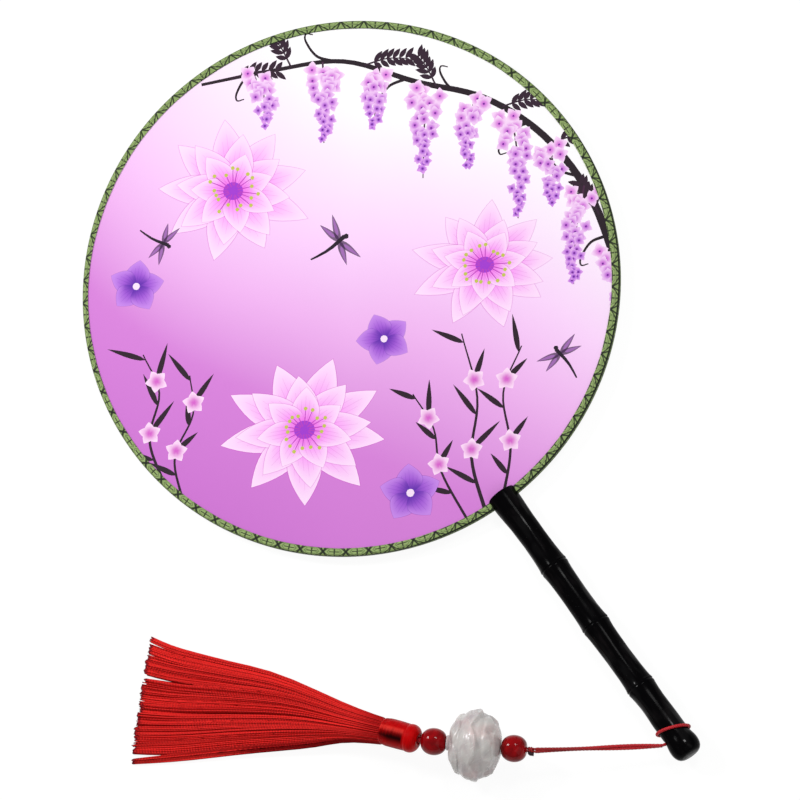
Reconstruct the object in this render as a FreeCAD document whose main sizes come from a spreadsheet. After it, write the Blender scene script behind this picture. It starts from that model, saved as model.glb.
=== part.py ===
import FreeCAD, Part
import math
import os

import Sketcher
from FreeCAD import Placement, Rotation, Vector

# Round hand fan: silk on both faces of a wire hoop, bound with tape, on a bamboo handle with a
# corded pendant of beads and a tassel. It lies face up on a table: +Z up, handle towards -Y.

DRIVING_SIZES = (
    # Face
    ("face_radius", 125.0, "outer radius of the face, over its binding"),
    ("wire", 2.4, "diameter of the hoop's wire"),
    ("silk", 0.25, "thickness of each silk"),
    ("tape", 0.5, "thickness of the binding tape"),
    ("tape_cover", 3.9, "width of tape seen on each face"),
    ("tape_fold", 1.0, "outer radius of the tape's folds"),
    ("glue", 0.02, "glue line between glued pieces"),
    # Handle, lengths from its top end
    ("handle_length", 153.2, "length of the handle"),
    ("handle_overlap", 5.6, "how far the handle reaches in over the rim"),
    ("top_radius", 6.95, "radius at the top end"),
    ("top_round", 0.8, "rounding of the top edge"),
    ("waist_radius", 6.05, "radius midway between nodes"),
    ("node_radius", 6.6, "radius beside a node"),
    ("node_ridge", 0.3, "height of a node's ridge"),
    ("node_width", 3.2, "width of a node's ridge"),
    ("node_one", 43.6, "first node from the top end"),
    ("node_two", 77.5, "second node from the top end"),
    ("node_three", 39.9, "third node from the butt's end"),
    ("seat_radius", 6.45, "radius of the plain seat under the cord"),
    ("seat_length", 10.4, "length of that seat"),
    ("swell_length", 3.4, "length of the swelling beyond the seat"),
    ("butt_radius", 7.7, "radius of the swollen butt"),
    ("butt_band", 2.0, "length of the butt's straight band"),
    ("butt_dome", 4.4, "length of the butt's rounding"),
    ("dome_bulge", 0.88, "how far that rounding bulges from straight"),
    ("butt_flat", 4.6, "radius of the flat at the butt's end"),
    ("slot_play", 0.03, "play of the rim in the handle's slot, each side"),
    ("slot_room", 0.1, "room under the rim in the slot"),
    # Hoop ends in the handle
    ("tang_length", 30.0, "straight length of each wire tang"),
    ("tang_bend", 2.4, "bend radius at the wire's centre"),
    ("tang_gap", 0.2, "gap between the two tangs"),
    ("bore_play", 0.15, "play round the tangs in the bore"),
    ("bore_spare", 1.5, "depth of the bore beyond the tangs"),
    ("tape_clear", 0.6, "distance from the wire's bend to the tape's end"),
    # Cord on the handle
    ("strand", 1.15, "diameter of the cord"),
    ("strand_gap", 0.15, "gap between the two strands in the hole"),
    ("hole_play", 0.2, "play round the strands in the hole"),
    ("hole_from_butt", 11.4, "centre of the cord hole from the butt's end"),
    ("wrap_gap", 0.05, "gap between cord and seat"),
    ("wrap_slant", 5.4, "rise of the wrap across the handle"),
    ("swing_gap", 0.3, "gap between pieces of the pendant that turn on each other"),
    ("mouth_reach", 1.7, "distance of the swing axis from the seat"),
    # Pendant, seen from above: headings turn from +Y towards -X
    ("strand_reach", 57.2, "level distance from the swing axis to the knot"),
    ("strand_heading", 56.4, "heading of the strands"),
    ("strand_bow", 0.95, "how far each strand bows out"),
    ("strand_part", 0.32, "how far each strand lies above or below the other there"),
    ("bow_at", 20.0, "level distance of the bow from the swing axis"),
    ("string_heading", 48.0, "heading of the beaded string"),
    ("knot_length", 3.0, "length of the knot"),
    ("knot_turn", 1.2, "radius of the knot's turns at the cord's centre"),
    ("knot_pitch", 0.9, "distance between the knot's turns"),
    ("knot_tail", 2.4, "length of the knot's cut end"),
    ("tail_radius", 0.52, "radius of that end"),
    ("string_cord", 2.0, "diameter of the doubled cord inside the beads"),
    ("bead_play", 0.25, "play of a bead on that cord"),
    ("bead_gap", 0.35, "gap from bead to bead"),
    ("bead_radius", 6.25, "radius of a red bead"),
    ("bead_length", 11.6, "length of a red bead"),
    ("lotus_radius", 17.1, "radius of the lotus bead over its petals"),
    ("lotus_length", 25.0, "length of the lotus bead over its collars"),
    ("collar_radius", 3.6, "radius of the lotus bead's collars"),
    ("collar_length", 1.9, "length of each collar"),
    ("heart_radius", 14.6, "radius of the lotus bead under its petals"),
    ("petal_thick", 4.6, "half thickness of a petal"),
    ("petal_wide", 6.0, "half width of a petal"),
    ("petal_long", 6.4, "half length of a petal"),
    ("petal_step", 5.6, "distance of the outer petal rows from the middle one"),
    ("petal_inset", 2.2, "how much nearer the axis the outer rows lie"),
    ("petal_lean", 24.0, "lean of the outer rows' petals"),
    ("petal_count", 8, "petals in each of the three rows"),
    ("table_gap", 0.05, "gap under the bead and the tassel"),
    # Tassel
    ("head_gap", 1.3, "gap from the last bead to the tassel head"),
    ("head_radius", 6.6, "radius of the tassel head"),
    ("head_length", 18.0, "length of the tassel head"),
    ("head_wall", 1.2, "wall of the head's sleeve"),
    ("head_hole", 3.4, "diameter of the hole in the head's top"),
    ("head_round", 4.0, "rounding of the head's top"),
    ("head_heading", 36.4, "heading of the head"),
    ("head_drop", 10.0, "slope of the head below level"),
    ("hanger_knot_radius", 2.0, "radius of the stopper knot in the head"),
    ("bundle_play", 0.3, "play of the threads in the head"),
    ("tie_width", 2.5, "width of the thread binding"),
    ("tie_thick", 0.5, "thickness of the thread binding"),
    ("skirt_length", 121.0, "length of the skirt below the head"),
    ("skirt_heading", 44.2, "heading of the skirt"),
    ("skirt_end_width", 57.0, "width of the skirt at its cut end"),
    ("skirt_end_thick", 7.0, "thickness of the skirt at its cut end"),
)

doc = FreeCAD.newDocument("hand_fan")
sheet = doc.addObject("Spreadsheet::Sheet", "Sizes")
for line, (alias, number, note) in enumerate(DRIVING_SIZES, 1):
    sheet.set(f"A{line}", alias)
    sheet.set(f"B{line}", str(number))
    sheet.setAlias(f"B{line}", alias)
    sheet.set(f"C{line}", note)
doc.recompute()


def value(expression):
    """Number that an expression on the sheet comes to."""
    found = sheet.evalExpression(expression)
    return float(getattr(found, "Value", found))


def cell(alias):
    """Expression that reads one driving size."""
    return f"Sizes.{alias}"


def size(alias):
    """Number in one driving size."""
    return value(cell(alias))


# Sizes that follow from the driving ones
HALF_STACK = "(Sizes.wire / 2 + Sizes.silk + 2 * Sizes.glue)"
HALF_RIM = f"({HALF_STACK} + Sizes.tape)"
TAPE_INSIDE = "(Sizes.face_radius - Sizes.tape)"
HOOP_RADIUS = f"({TAPE_INSIDE} - Sizes.glue - Sizes.wire / 2)"
SILK_RADIUS = "(Sizes.face_radius - Sizes.tape_fold)"
TOP_FROM_CENTRE = "(Sizes.face_radius - Sizes.handle_overlap)"
TANG_OFFSET = "((Sizes.wire + Sizes.tang_gap) / 2)"
BEND_FROM_CENTRE = f"({HOOP_RADIUS} + Sizes.tang_bend)"
BEND_ANGLE = f"asin((Sizes.tang_bend + {TANG_OFFSET}) / {BEND_FROM_CENTRE})"
BEND_DEPTH = f"({BEND_FROM_CENTRE} * cos({BEND_ANGLE}))"
BORE_RADIUS = f"({TANG_OFFSET} + Sizes.wire / 2 + Sizes.bore_play)"
HOLE_AT = "(Sizes.handle_length - Sizes.hole_from_butt)"
BUTT_AT = "(Sizes.handle_length - Sizes.butt_dome - Sizes.butt_band)"
STRAND_OFFSET = "((Sizes.strand + Sizes.strand_gap) / 2)"
HOLE_RADIUS = f"({STRAND_OFFSET} + Sizes.strand / 2 + Sizes.hole_play)"
BEAD_BORE = "(Sizes.string_cord / 2 + Sizes.bead_play)"
WRAP_RADIUS = "(Sizes.seat_radius + Sizes.wrap_gap + Sizes.strand / 2)"
SLEEVE_BORE = "(Sizes.head_radius - Sizes.head_wall)"
BUNDLE_RADIUS = f"({SLEEVE_BORE} - Sizes.bundle_play)"
CORE_RADIUS = f"({BUNDLE_RADIUS} - Sizes.tie_thick)"

X, Y, Z = Vector(1, 0, 0), Vector(0, 1, 0), Vector(0, 0, 1)

# Shares and powers that shape the cords and the skirt, and the error allowed in a tube's volume
BEND_SHARE = 0.45
CORNER_SHARE = 0.98
SKIRT_STATIONS = 8
SKIRT_SINK = 2.2
SKIRT_SPREAD = 1.2
SKIRT_BULK = 1.35
TUBE_ERROR = 0.01


def heading(degrees, drop=0.0):
    """Unit vector at a heading from +Y towards -X, and at a slope below level."""
    turn, down = math.radians(degrees), math.radians(drop)
    return Vector(-math.sin(turn) * math.cos(down), math.cos(turn) * math.cos(down), -math.sin(down))


def axis_placement(base, direction):
    """Placement whose Z axis runs along a direction and whose X axis is level."""
    level = direction.cross(Z).normalize()
    return Placement(base, Rotation(level, direction.cross(level), direction, "ZXY"))


def bind(thing, **expressions):
    """Bind an object's properties to expressions on the sheet."""
    for name, expression in expressions.items():
        thing.setExpression(name, expression)
    return thing


def primitive(kind, name, base=Vector(), turn=Rotation(), **expressions):
    """Part primitive with its sizes bound to the sheet."""
    thing = bind(doc.addObject(f"Part::{kind}", name), **expressions)
    thing.Placement = Placement(base, turn)
    return thing


def fused(label, *things):
    """Union of several solids as one named piece."""
    union = doc.addObject("Part::MultiFuse", label)
    union.Shapes = list(things)
    union.Label = label
    return union


def difference(label, base, tool):
    """One solid cut by another as one named piece."""
    cut = doc.addObject("Part::Cut", label)
    cut.Base, cut.Tool = base, tool
    cut.Label = label
    return cut


def feature(label, shape):
    """Piece whose shape is worked out here from the sheet's sizes."""
    thing = doc.addObject("Part::Feature", label)
    thing.Shape = shape
    thing.Label = label
    return thing


def new_body(label):
    """Empty body that becomes one named piece."""
    body = doc.addObject("PartDesign::Body", label)
    body.Label = label
    return body


def sketch_on(body, role, name):
    """Sketch on one of the body's own origin planes."""
    sketch = body.newObject("Sketcher::SketchObject", name)
    plane = next(part for part in body.Origin.OriginFeatures if part.Role == role)
    sketch.AttachmentSupport = (plane, [""])
    sketch.MapMode = "FlatFace"
    return sketch


def arc_edge(start, end, radius, bulge):
    """Arc that bulges to the right (1) or left (-1) of its way, and whether its ends are reversed."""
    chord = end - start
    half = chord.Length / 2
    side = Vector(chord.y, -chord.x, 0).normalize() * bulge
    middle = (start + end) / 2
    centre = middle - side * math.sqrt(max(radius**2 - half**2, 0.0))
    edge = Part.Arc(start, centre + side * radius, end)
    turns_left = bulge > 0
    return edge, not turns_left


def pin_point(sketch, geometry, end, corner):
    """Hold one end of a line or arc at a pair of expressions, measured from the sketch's origin."""
    for kind, axis, expression in (("DistanceX", -2, corner[0]), ("DistanceY", -1, corner[1])):
        number = value(expression)
        if number == 0:
            sketch.addConstraint(Sketcher.Constraint("PointOnObject", geometry, end, axis))
            continue
        index = sketch.addConstraint(Sketcher.Constraint(kind, -1, 1, geometry, end, number))
        sketch.setExpression(f"Constraints[{index}]", expression)


def draw_outline(sketch, corners, arcs=()):
    """Closed outline through corners given as expressions, with arcs as {edge: (radius, bulge)}."""
    arcs = dict(arcs)
    points = [Vector(value(x), value(y), 0) for x, y in corners]
    ends = []
    for index, start in enumerate(points):
        end = points[(index + 1) % len(points)]
        if index in arcs:
            radius, bulge = arcs[index]
            edge, reverse = arc_edge(start, end, value(radius), bulge)
            geometry = sketch.addGeometry(edge)
            held = sketch.addConstraint(Sketcher.Constraint("Radius", geometry, value(radius)))
            sketch.setExpression(f"Constraints[{held}]", radius)
        else:
            geometry, reverse = sketch.addGeometry(Part.LineSegment(start, end)), False
        ends.append((geometry, 2 if reverse else 1, 1 if reverse else 2))
    for index, (geometry, first, _) in enumerate(ends):
        before, _, last = ends[index - 1]
        sketch.addConstraint(Sketcher.Constraint("Coincident", before, last, geometry, first))
        pin_point(sketch, geometry, first, corners[index])


def revolve(body, sketch, angle="360"):
    """Turn a sketch on the XZ plane round the body's Z axis, evenly to both sides."""
    turned = body.newObject("PartDesign::Revolution", sketch.Name + "Turned")
    turned.Profile = sketch
    turned.ReferenceAxis = (sketch, ["V_Axis"])
    turned.Midplane = True
    turned.setExpression("Angle", angle)
    return turned


def turned_body(label, corners, arcs=(), angle="360"):
    """Body turned from one outline of (radius, height) corners."""
    body = new_body(label)
    sketch = sketch_on(body, "XZ_Plane", label + "_outline")
    draw_outline(sketch, corners, arcs)
    revolve(body, sketch, angle)
    return body


def slot_cut(body, name, corners, length):
    """Cut an outline on the YZ plane evenly to both sides of the body, and see that it cut."""
    doc.recompute()
    before = body.Shape.Volume
    sketch = sketch_on(body, "YZ_Plane", name)
    draw_outline(sketch, corners)
    pocket = body.newObject("PartDesign::Pocket", name + "Cut")
    pocket.Profile = sketch
    pocket.SideType = "Symmetric"
    pocket.setExpression("Length", length)
    doc.recompute()
    if body.Shape.Volume >= before:
        raise RuntimeError(f"{name} cuts nothing")


def sagitta_radius(start, end, depth):
    """Expression for the radius of an arc between two corners that is so deep at its middle."""
    square = f"(({end[0]} - {start[0]})^2 + ({end[1]} - {start[1]})^2) / 4"
    return f"(({square} + ({depth})^2) / (2 * ({depth})))"


def resting_tilt(reach, radius, rounding):
    """Tilt at which one end of the handle and the far edge of the binding both touch the table."""
    span = reach + value(SILK_RADIUS)
    rise = radius - value(f"{HALF_RIM} - Sizes.tape_fold")
    return math.atan2(rise, span) + math.asin((rounding - size("tape_fold")) / math.hypot(span, rise))


# The fan lies on the far edge of its binding and on the end of the handle that it tips onto
top_reach = value(f"{TOP_FROM_CENTRE} + Sizes.top_round")
top_tilt = resting_tilt(top_reach, value("Sizes.top_radius - Sizes.top_round"), size("top_round"))
butt_tilt = resting_tilt(value(f"{TOP_FROM_CENTRE} + {BUTT_AT}"), size("butt_radius"), 0.0)
tilt = max(top_tilt, butt_tilt)
centre_height = value(SILK_RADIUS) * math.sin(tilt) + size("tape_fold")
centre_height += value(f"{HALF_RIM} - Sizes.tape_fold") * math.cos(tilt)
fan_length = value(f"Sizes.face_radius + {TOP_FROM_CENTRE} + Sizes.handle_length")
centre_forward = fan_length / 2 - size("face_radius")
FAN = Placement(Vector(0, centre_forward, centre_height), Rotation(X, -math.degrees(tilt)))
HANDLE = FAN * Placement(Vector(0, -value(TOP_FROM_CENTRE), 0), Rotation(X, 90))


def make_silks():
    """Two silks, on the front and on the back of the hoop."""
    front = primitive("Cylinder", "front_silk", Radius=SILK_RADIUS, Height=cell("silk"))
    front.Placement = FAN * Placement(Vector(0, 0, value("Sizes.wire / 2 + Sizes.glue")), Rotation())
    back = primitive("Cylinder", "back_silk", Radius=SILK_RADIUS, Height=cell("silk"))
    back.Placement = FAN * Placement(
        Vector(0, 0, -value("Sizes.wire / 2 + Sizes.glue + Sizes.silk")), Rotation()
    )
    return [front, back]


def make_hoop():
    """Wire hoop, open at the handle, where its ends bend out into two tangs."""
    angle, depth = value(BEND_ANGLE), value(BEND_DEPTH)
    side = value(f"{BEND_FROM_CENTRE} * sin({BEND_ANGLE})")
    tube = {"Radius2": "Sizes.wire / 2"}
    ring = primitive(
        "Torus", "HoopRing", turn=Rotation(Z, angle - 90),
        Radius1=HOOP_RADIUS, Angle3=f"360 deg - 2 * {BEND_ANGLE}", **tube,
    )
    bend = {"Radius1": cell("tang_bend"), "Angle3": f"90 deg - {BEND_ANGLE}", **tube}
    left = primitive("Torus", "HoopBendLeft", Vector(-side, -depth, 0), **bend)
    right = primitive("Torus", "HoopBendRight", Vector(side, -depth, 0), Rotation(Z, 90 + angle), **bend)
    tangs = [
        primitive(
            "Cylinder", "HoopTang", Vector(offset, -depth, 0), Rotation(X, 90),
            Radius="Sizes.wire / 2", Height=cell("tang_length"),
        )
        for offset in (-value(TANG_OFFSET), value(TANG_OFFSET))
    ]
    hoop = fused("frame_hoop", ring, left, right, *tangs)
    hoop.Placement = FAN
    return hoop


def make_binding():
    """Tape folded over the rim, open at the handle, its ends inside the handle's slot."""
    inner_edge = "(Sizes.face_radius - Sizes.tape_cover)"
    fold_start = SILK_RADIUS
    tall = f"(2 * {HALF_RIM})"
    inner_fold = "(Sizes.tape_fold - Sizes.tape)"
    corners = [
        (inner_edge, "0"),
        (fold_start, "0"),
        (cell("face_radius"), cell("tape_fold")),
        (cell("face_radius"), f"({tall} - Sizes.tape_fold)"),
        (fold_start, tall),
        (inner_edge, tall),
        (inner_edge, f"({tall} - Sizes.tape)"),
        (fold_start, f"({tall} - Sizes.tape)"),
        (TAPE_INSIDE, f"({tall} - Sizes.tape_fold)"),
        (TAPE_INSIDE, cell("tape_fold")),
        (fold_start, cell("tape")),
        (inner_edge, cell("tape")),
    ]
    arcs = {1: (cell("tape_fold"), 1), 3: (cell("tape_fold"), 1), 7: (inner_fold, -1), 9: (inner_fold, -1)}
    opening = f"asin(({BEND_FROM_CENTRE} * sin({BEND_ANGLE}) + Sizes.tape_clear) / {HOOP_RADIUS})"
    body = turned_body("edge_binding", corners, arcs, f"360 deg - 2 * {opening}")
    body.Placement = FAN * Placement(Vector(0, 0, -value(HALF_RIM)), Rotation(Z, 90))
    return body


def make_handle():
    """Bamboo handle: nodes, cord seat and butt, then the slot, mortise, bore and cord hole."""
    seat_end = f"({BUTT_AT} - Sizes.swell_length)"
    seat_start = f"({seat_end} - Sizes.seat_length)"
    corners = [("0", "0"), ("(Sizes.top_radius - Sizes.top_round)", "0")]
    corners += [(cell("top_radius"), cell("top_round"))]
    arcs = {1: (cell("top_round"), 1)}
    for node in (cell("node_one"), cell("node_two"), "(Sizes.handle_length - Sizes.node_three)"):
        below = (cell("node_radius"), f"({node} - Sizes.node_width / 2)")
        above = (cell("node_radius"), f"({node} + Sizes.node_width / 2)")
        waist = f"(({corners[-1][0]} + Sizes.node_radius) / 2 - Sizes.waist_radius)"
        arcs[len(corners) - 1] = (sagitta_radius(corners[-1], below, waist), -1)
        arcs[len(corners)] = (sagitta_radius(below, above, cell("node_ridge")), 1)
        corners += [below, above]
    waist = "((Sizes.node_radius + Sizes.seat_radius) / 2 - Sizes.waist_radius)"
    arcs[len(corners) - 1] = (sagitta_radius(corners[-1], (cell("seat_radius"), seat_start), waist), -1)
    corners += [(cell("seat_radius"), seat_start), (cell("seat_radius"), seat_end)]
    corners += [(cell("butt_radius"), BUTT_AT), (cell("butt_radius"), f"({BUTT_AT} + Sizes.butt_band)")]
    dome_end = (cell("butt_flat"), cell("handle_length"))
    arcs[len(corners) - 1] = (sagitta_radius(corners[-1], dome_end, cell("dome_bulge")), 1)
    corners += [dome_end, ("0", cell("handle_length"))]
    body = turned_body("handle", corners, arcs)

    half_slot = f"({HALF_RIM} + Sizes.slot_play)"
    slot_depth = "(Sizes.handle_overlap + Sizes.slot_room)"
    slot_cut(body, "RimSlot", box_corners(half_slot, slot_depth), "4 * Sizes.top_radius")
    half_mortise = "(Sizes.wire / 2 + Sizes.bore_play)"
    mortise_depth = f"({BEND_DEPTH} - {TOP_FROM_CENTRE} + Sizes.wire / 2)"
    mortise = f"2 * ({BEND_FROM_CENTRE} * sin({BEND_ANGLE}) + Sizes.bore_play)"
    slot_cut(body, "BendMortise", box_corners(half_mortise, mortise_depth), mortise)
    round_cut(body, "TangBore", "XY_Plane", "0", BORE_RADIUS, tang_bore_depth(), False)
    round_cut(body, "CordHole", "YZ_Plane", HOLE_AT, HOLE_RADIUS, "4 * Sizes.butt_radius", True)
    body.Placement = HANDLE
    return body


def tang_bore_depth():
    """Expression for the bore's depth from the handle's top end."""
    return f"({BEND_DEPTH} - {TOP_FROM_CENTRE} + Sizes.tang_length + Sizes.bore_spare)"


def box_corners(half_width, depth):
    """Corners of a cut that is open at the top end and even about the axis."""
    return [(f"-{half_width}", "0"), (half_width, "0"), (half_width, depth), (f"-{half_width}", depth)]


def round_cut(body, name, role, height, radius, length, both_ways):
    """Cut a round hole on an origin plane, and see that it cut."""
    doc.recompute()
    before = body.Shape.Volume
    sketch = sketch_on(body, role, name)
    centre = Vector(0, value(height), 0)
    ring = sketch.addGeometry(Part.Circle(centre, Z, value(radius)))
    held = sketch.addConstraint(Sketcher.Constraint("Radius", ring, value(radius)))
    sketch.setExpression(f"Constraints[{held}]", radius)
    pin_point(sketch, ring, 3, ("0", height))
    pocket = body.newObject("PartDesign::Pocket", name + "Cut")
    pocket.Profile = sketch
    pocket.SideType = "Symmetric" if both_ways else "One side"
    pocket.Reversed = not both_ways
    pocket.setExpression("Length", length)
    doc.recompute()
    if body.Shape.Volume >= before:
        raise RuntimeError(f"{name} cuts nothing")


def make_wedges():
    """Two bamboo slivers beside the tangs, one in front of them and one behind."""
    round_bar = primitive(
        "Cylinder", "WedgeBar", Radius=f"{BORE_RADIUS} - Sizes.glue", Height=cell("tang_length")
    )
    width, thick = value(f"4 * {BORE_RADIUS}"), value("Sizes.wire + 2 * Sizes.glue")
    slab = primitive(
        "Box", "WedgeSlab", Vector(-width / 2, -thick / 2, 0),
        Length=f"4 * {BORE_RADIUS}", Width="Sizes.wire + 2 * Sizes.glue", Height=cell("tang_length"),
    )
    wedges = difference("tang_wedges", round_bar, slab)
    start = value(f"{BEND_DEPTH} - {TOP_FROM_CENTRE}")
    wedges.Placement = HANDLE * Placement(Vector(0, 0, start + size("wire") / 2), Rotation())
    return wedges


def tube(path, diameter):
    """Round tube along a wire, with its volume compared with its section times its length."""
    start = path.Edges[0].valueAt(path.Edges[0].FirstParameter)
    way = path.Edges[0].tangentAt(path.Edges[0].FirstParameter)
    ring = Part.Wire([Part.Circle(start, way, diameter / 2).toShape()])
    solid = path.makePipeShell([ring], True, True)
    wanted = math.pi * diameter**2 / 4 * path.Length
    if abs(solid.Volume / wanted - 1) > TUBE_ERROR:
        raise RuntimeError("a cord's tube has the wrong volume")
    return solid


def make_wrap():
    """Cord through the hole and once round the handle, on a slant, drawn tight on its seat."""
    diameter, high = size("strand"), value(WRAP_RADIUS)
    slant = math.atan2(size("wrap_slant") / 2, high)
    straight = high / math.cos(slant) - high
    across = Vector(math.cos(slant), 0, math.sin(slant))
    middle = Vector(0, 0, value(HOLE_AT) - size("wrap_slant") / 2)

    def at(along, up):
        return middle + across * along + Y * up

    right_arc = Part.Arc(at(straight, -high), at(straight + high, 0), at(straight, high)).toShape()
    top = Part.LineSegment(at(straight, high), at(-straight, high)).toShape()
    left_arc = Part.Arc(at(-straight, high), at(-straight - high, 0), at(-straight, -high)).toShape()
    bottom = Part.LineSegment(at(-straight, -high), at(straight, -high)).toShape()
    loop = tube(Part.Wire([right_arc, top, left_arc, bottom]), diameter)
    leg_end = size("seat_radius") + size("mouth_reach") - diameter / 2 - size("swing_gap")
    legs = [
        Part.makeCylinder(
            diameter / 2, leg_end + high, Vector(-leg_end, side * value(STRAND_OFFSET), value(HOLE_AT)), X
        )
        for side in (-1, 1)
    ]
    print(f"cord_wrap: turns of radius {high:.2f} mm round the handle")
    wrap = feature("cord_wrap", loop.fuse(legs).removeSplitter())
    wrap.Placement = HANDLE
    return wrap


# Axes of the pendant: the strands swing at the hole's mouth, and the string lifts at the knot
mouth_side = Vector(-value("Sizes.seat_radius + Sizes.mouth_reach"), 0, value(HOLE_AT))
MOUTH = HANDLE.multVec(mouth_side)
STRING_WAY = heading(size("string_heading"))
STRING_SIDE = STRING_WAY.cross(Z)
KNOT = MOUTH + heading(size("strand_heading")) * size("strand_reach")
KNOT.z = size("lotus_radius") + size("table_gap")
STRING = axis_placement(KNOT, STRING_WAY)


def make_strands():
    """Two free strands from the hole's mouth to the knot, side by side."""
    strands = []
    way = heading(size("strand_heading"))
    rise_at_bow = (KNOT.z - MOUTH.z) * size("bow_at") / size("strand_reach")
    for label, side in (("near_strand", -1), ("far_strand", 1)):
        start = MOUTH + Z * (side * value(STRAND_OFFSET))
        bow = MOUTH + way * size("bow_at") + Z * (rise_at_bow + side * size("strand_part"))
        bow += STRING_SIDE * (side * size("strand_bow"))
        end = KNOT + STRING_SIDE * (side * value(STRAND_OFFSET))
        first, second = bow - start, end - bow
        turn = first.getAngle(second)
        radius = BEND_SHARE * min(first.Length, second.Length) / math.tan(turn / 2)
        reach = radius * math.tan(turn / 2)
        before = bow - first.normalize() * reach
        after = bow + second.normalize() * reach
        inward = (before + after - bow * 2).normalize()
        top = bow + inward * (radius / math.cos(turn / 2) - radius)
        path = Part.Wire([
            Part.LineSegment(start, before).toShape(),
            Part.Arc(before, top, after).toShape(),
            Part.LineSegment(after, end).toShape(),
        ])
        print(f"{label}: length {path.Length:.1f} mm, bend radius {radius:.0f} mm")
        solid = tube(path, size("strand"))
        ends = [Part.makeSphere(size("strand") / 2, point) for point in (start, end)]
        strands.append(feature(label, solid.fuse(ends)))
    return strands


def string_stops():
    """Distances along the string from the lift axis: knot, beads' starts and the tassel's axis."""
    knot = size("strand") / 2 + size("swing_gap")
    upper = knot + size("knot_length") + size("bead_gap")
    lotus = upper + size("bead_length") + size("bead_gap")
    lower = lotus + size("lotus_length") + size("bead_gap")
    tassel = lower + size("bead_length") + size("head_gap")
    return {"knot": knot, "upper": upper, "lotus": lotus, "lower": lower, "tassel": tassel}


STOPS = string_stops()


def on_string(distance):
    """Placement on the string, its Z axis along it."""
    return STRING * Placement(Vector(0, 0, distance), Rotation())


def make_knot():
    """Small knot of two turns, with its cut end standing out on the side away from the face."""
    core = primitive("Cylinder", "KnotCore", Radius=cell("strand"), Height=cell("knot_length"))
    turns = [
        primitive(
            "Torus", "KnotTurn", Vector(0, 0, size("knot_length") / 2 + side * size("knot_pitch") / 2),
            Radius1=cell("knot_turn"), Radius2="Sizes.strand / 2",
        )
        for side in (-1, 1)
    ]
    tail = primitive(
        "Cylinder", "KnotTail", Vector(0, 0, size("knot_length") / 2), Rotation(Y, -90),
        Radius=cell("tail_radius"), Height="Sizes.knot_turn + Sizes.knot_tail",
    )
    knot = fused("cord_knot", core, *turns, tail)
    knot.Placement = on_string(STOPS["knot"])
    return knot


def make_bead_cord():
    """Doubled cord through the beads, rounded where the tassel hangs on it."""
    start = STOPS["knot"] + size("knot_length") + size("glue")
    length = STOPS["tassel"] - start
    beads = "2 * Sizes.bead_length + Sizes.lotus_length + 3 * Sizes.bead_gap + Sizes.head_gap - Sizes.glue"
    core = primitive("Cylinder", "StringCore", Radius="Sizes.string_cord / 2", Height=beads)
    end = primitive("Sphere", "StringEnd", Vector(0, 0, length), Radius="Sizes.string_cord / 2")
    cord = fused("bead_cord", core, end)
    cord.Placement = on_string(start)
    return cord


def make_red_bead(label, stop):
    """Round glossy bead with its bore."""
    mouth = (BEAD_BORE, "0")
    far = (BEAD_BORE, cell("bead_length"))
    arc = (sagitta_radius(mouth, far, f"(Sizes.bead_radius - {BEAD_BORE})"), 1)
    body = turned_body(label, [mouth, far], {0: arc})
    body.Placement = on_string(stop)
    return body


def make_lotus():
    """Carved lotus: a round heart with collars, and three rows of petals set between each other."""
    heart_start = cell("collar_length")
    heart_end = "(Sizes.lotus_length - Sizes.collar_length)"
    left, right = (cell("collar_radius"), heart_start), (cell("collar_radius"), heart_end)
    corners = [
        (BEAD_BORE, "0"),
        (cell("collar_radius"), "0"),
        left,
        right,
        (cell("collar_radius"), cell("lotus_length")),
        (BEAD_BORE, cell("lotus_length")),
    ]
    arcs = {2: (sagitta_radius(left, right, "(Sizes.heart_radius - Sizes.collar_radius)"), 1)}
    body = turned_body("lotus_bead", corners, arcs)
    axis = next(part for part in body.Origin.OriginFeatures if part.Role == "Z_Axis")
    for row, side in (("Near", -1), ("Middle", 0), ("Far", 1)):
        petal = body.newObject("PartDesign::AdditiveEllipsoid", row + "Petal")
        bind(petal, Radius1=cell("petal_long"), Radius2=cell("petal_thick"), Radius3=cell("petal_wide"))
        spoke = Rotation(Z, abs(side) * 180 / size("petal_count"))
        reach = size("lotus_radius") - size("petal_thick") - abs(side) * size("petal_inset")
        height = size("lotus_length") / 2 + side * size("petal_step")
        turn = spoke * Rotation(Y, -side * size("petal_lean"))
        petal.Placement = Placement(spoke.multVec(X) * reach + Z * height, turn)
        doc.recompute()
        pattern = body.newObject("PartDesign::PolarPattern", row + "Petals")
        pattern.Originals = [petal]
        pattern.Axis = (axis, [""])
        pattern.Angle = 360
        pattern.setExpression("Occurrences", cell("petal_count"))
        body.Tip = pattern
        doc.recompute()
    body.Placement = on_string(STOPS["lotus"])
    return body


# The tassel hangs on the string's end
TASSEL_AXIS = on_string(STOPS["tassel"]).Base
HEAD = axis_placement(TASSEL_AXIS, heading(size("head_heading"), size("head_drop")))


def make_head():
    """Satin-wound sleeve with a rounded top, open below, with a hole for the string's end."""
    inside_top = "(Sizes.head_wall + Sizes.bead_play)"
    shoulder = f"({inside_top} + Sizes.head_round / 2)"
    corners = [
        ("(Sizes.head_hole / 2)", "0"),
        ("(Sizes.head_radius - Sizes.head_round)", "0"),
        (cell("head_radius"), cell("head_round")),
        (cell("head_radius"), cell("head_length")),
        (SLEEVE_BORE, cell("head_length")),
        (SLEEVE_BORE, shoulder),
        (f"({SLEEVE_BORE} - Sizes.head_round / 2)", inside_top),
        ("(Sizes.head_hole / 2)", inside_top),
    ]
    body = turned_body("tassel_head", corners, {1: (cell("head_round"), 1)})
    body.Placement = HEAD
    return body


def hanger_depth():
    """Depth of the stopper knot's centre in the head."""
    return size("head_wall") + size("bead_play") + size("hanger_knot_radius") + size("glue")


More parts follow.
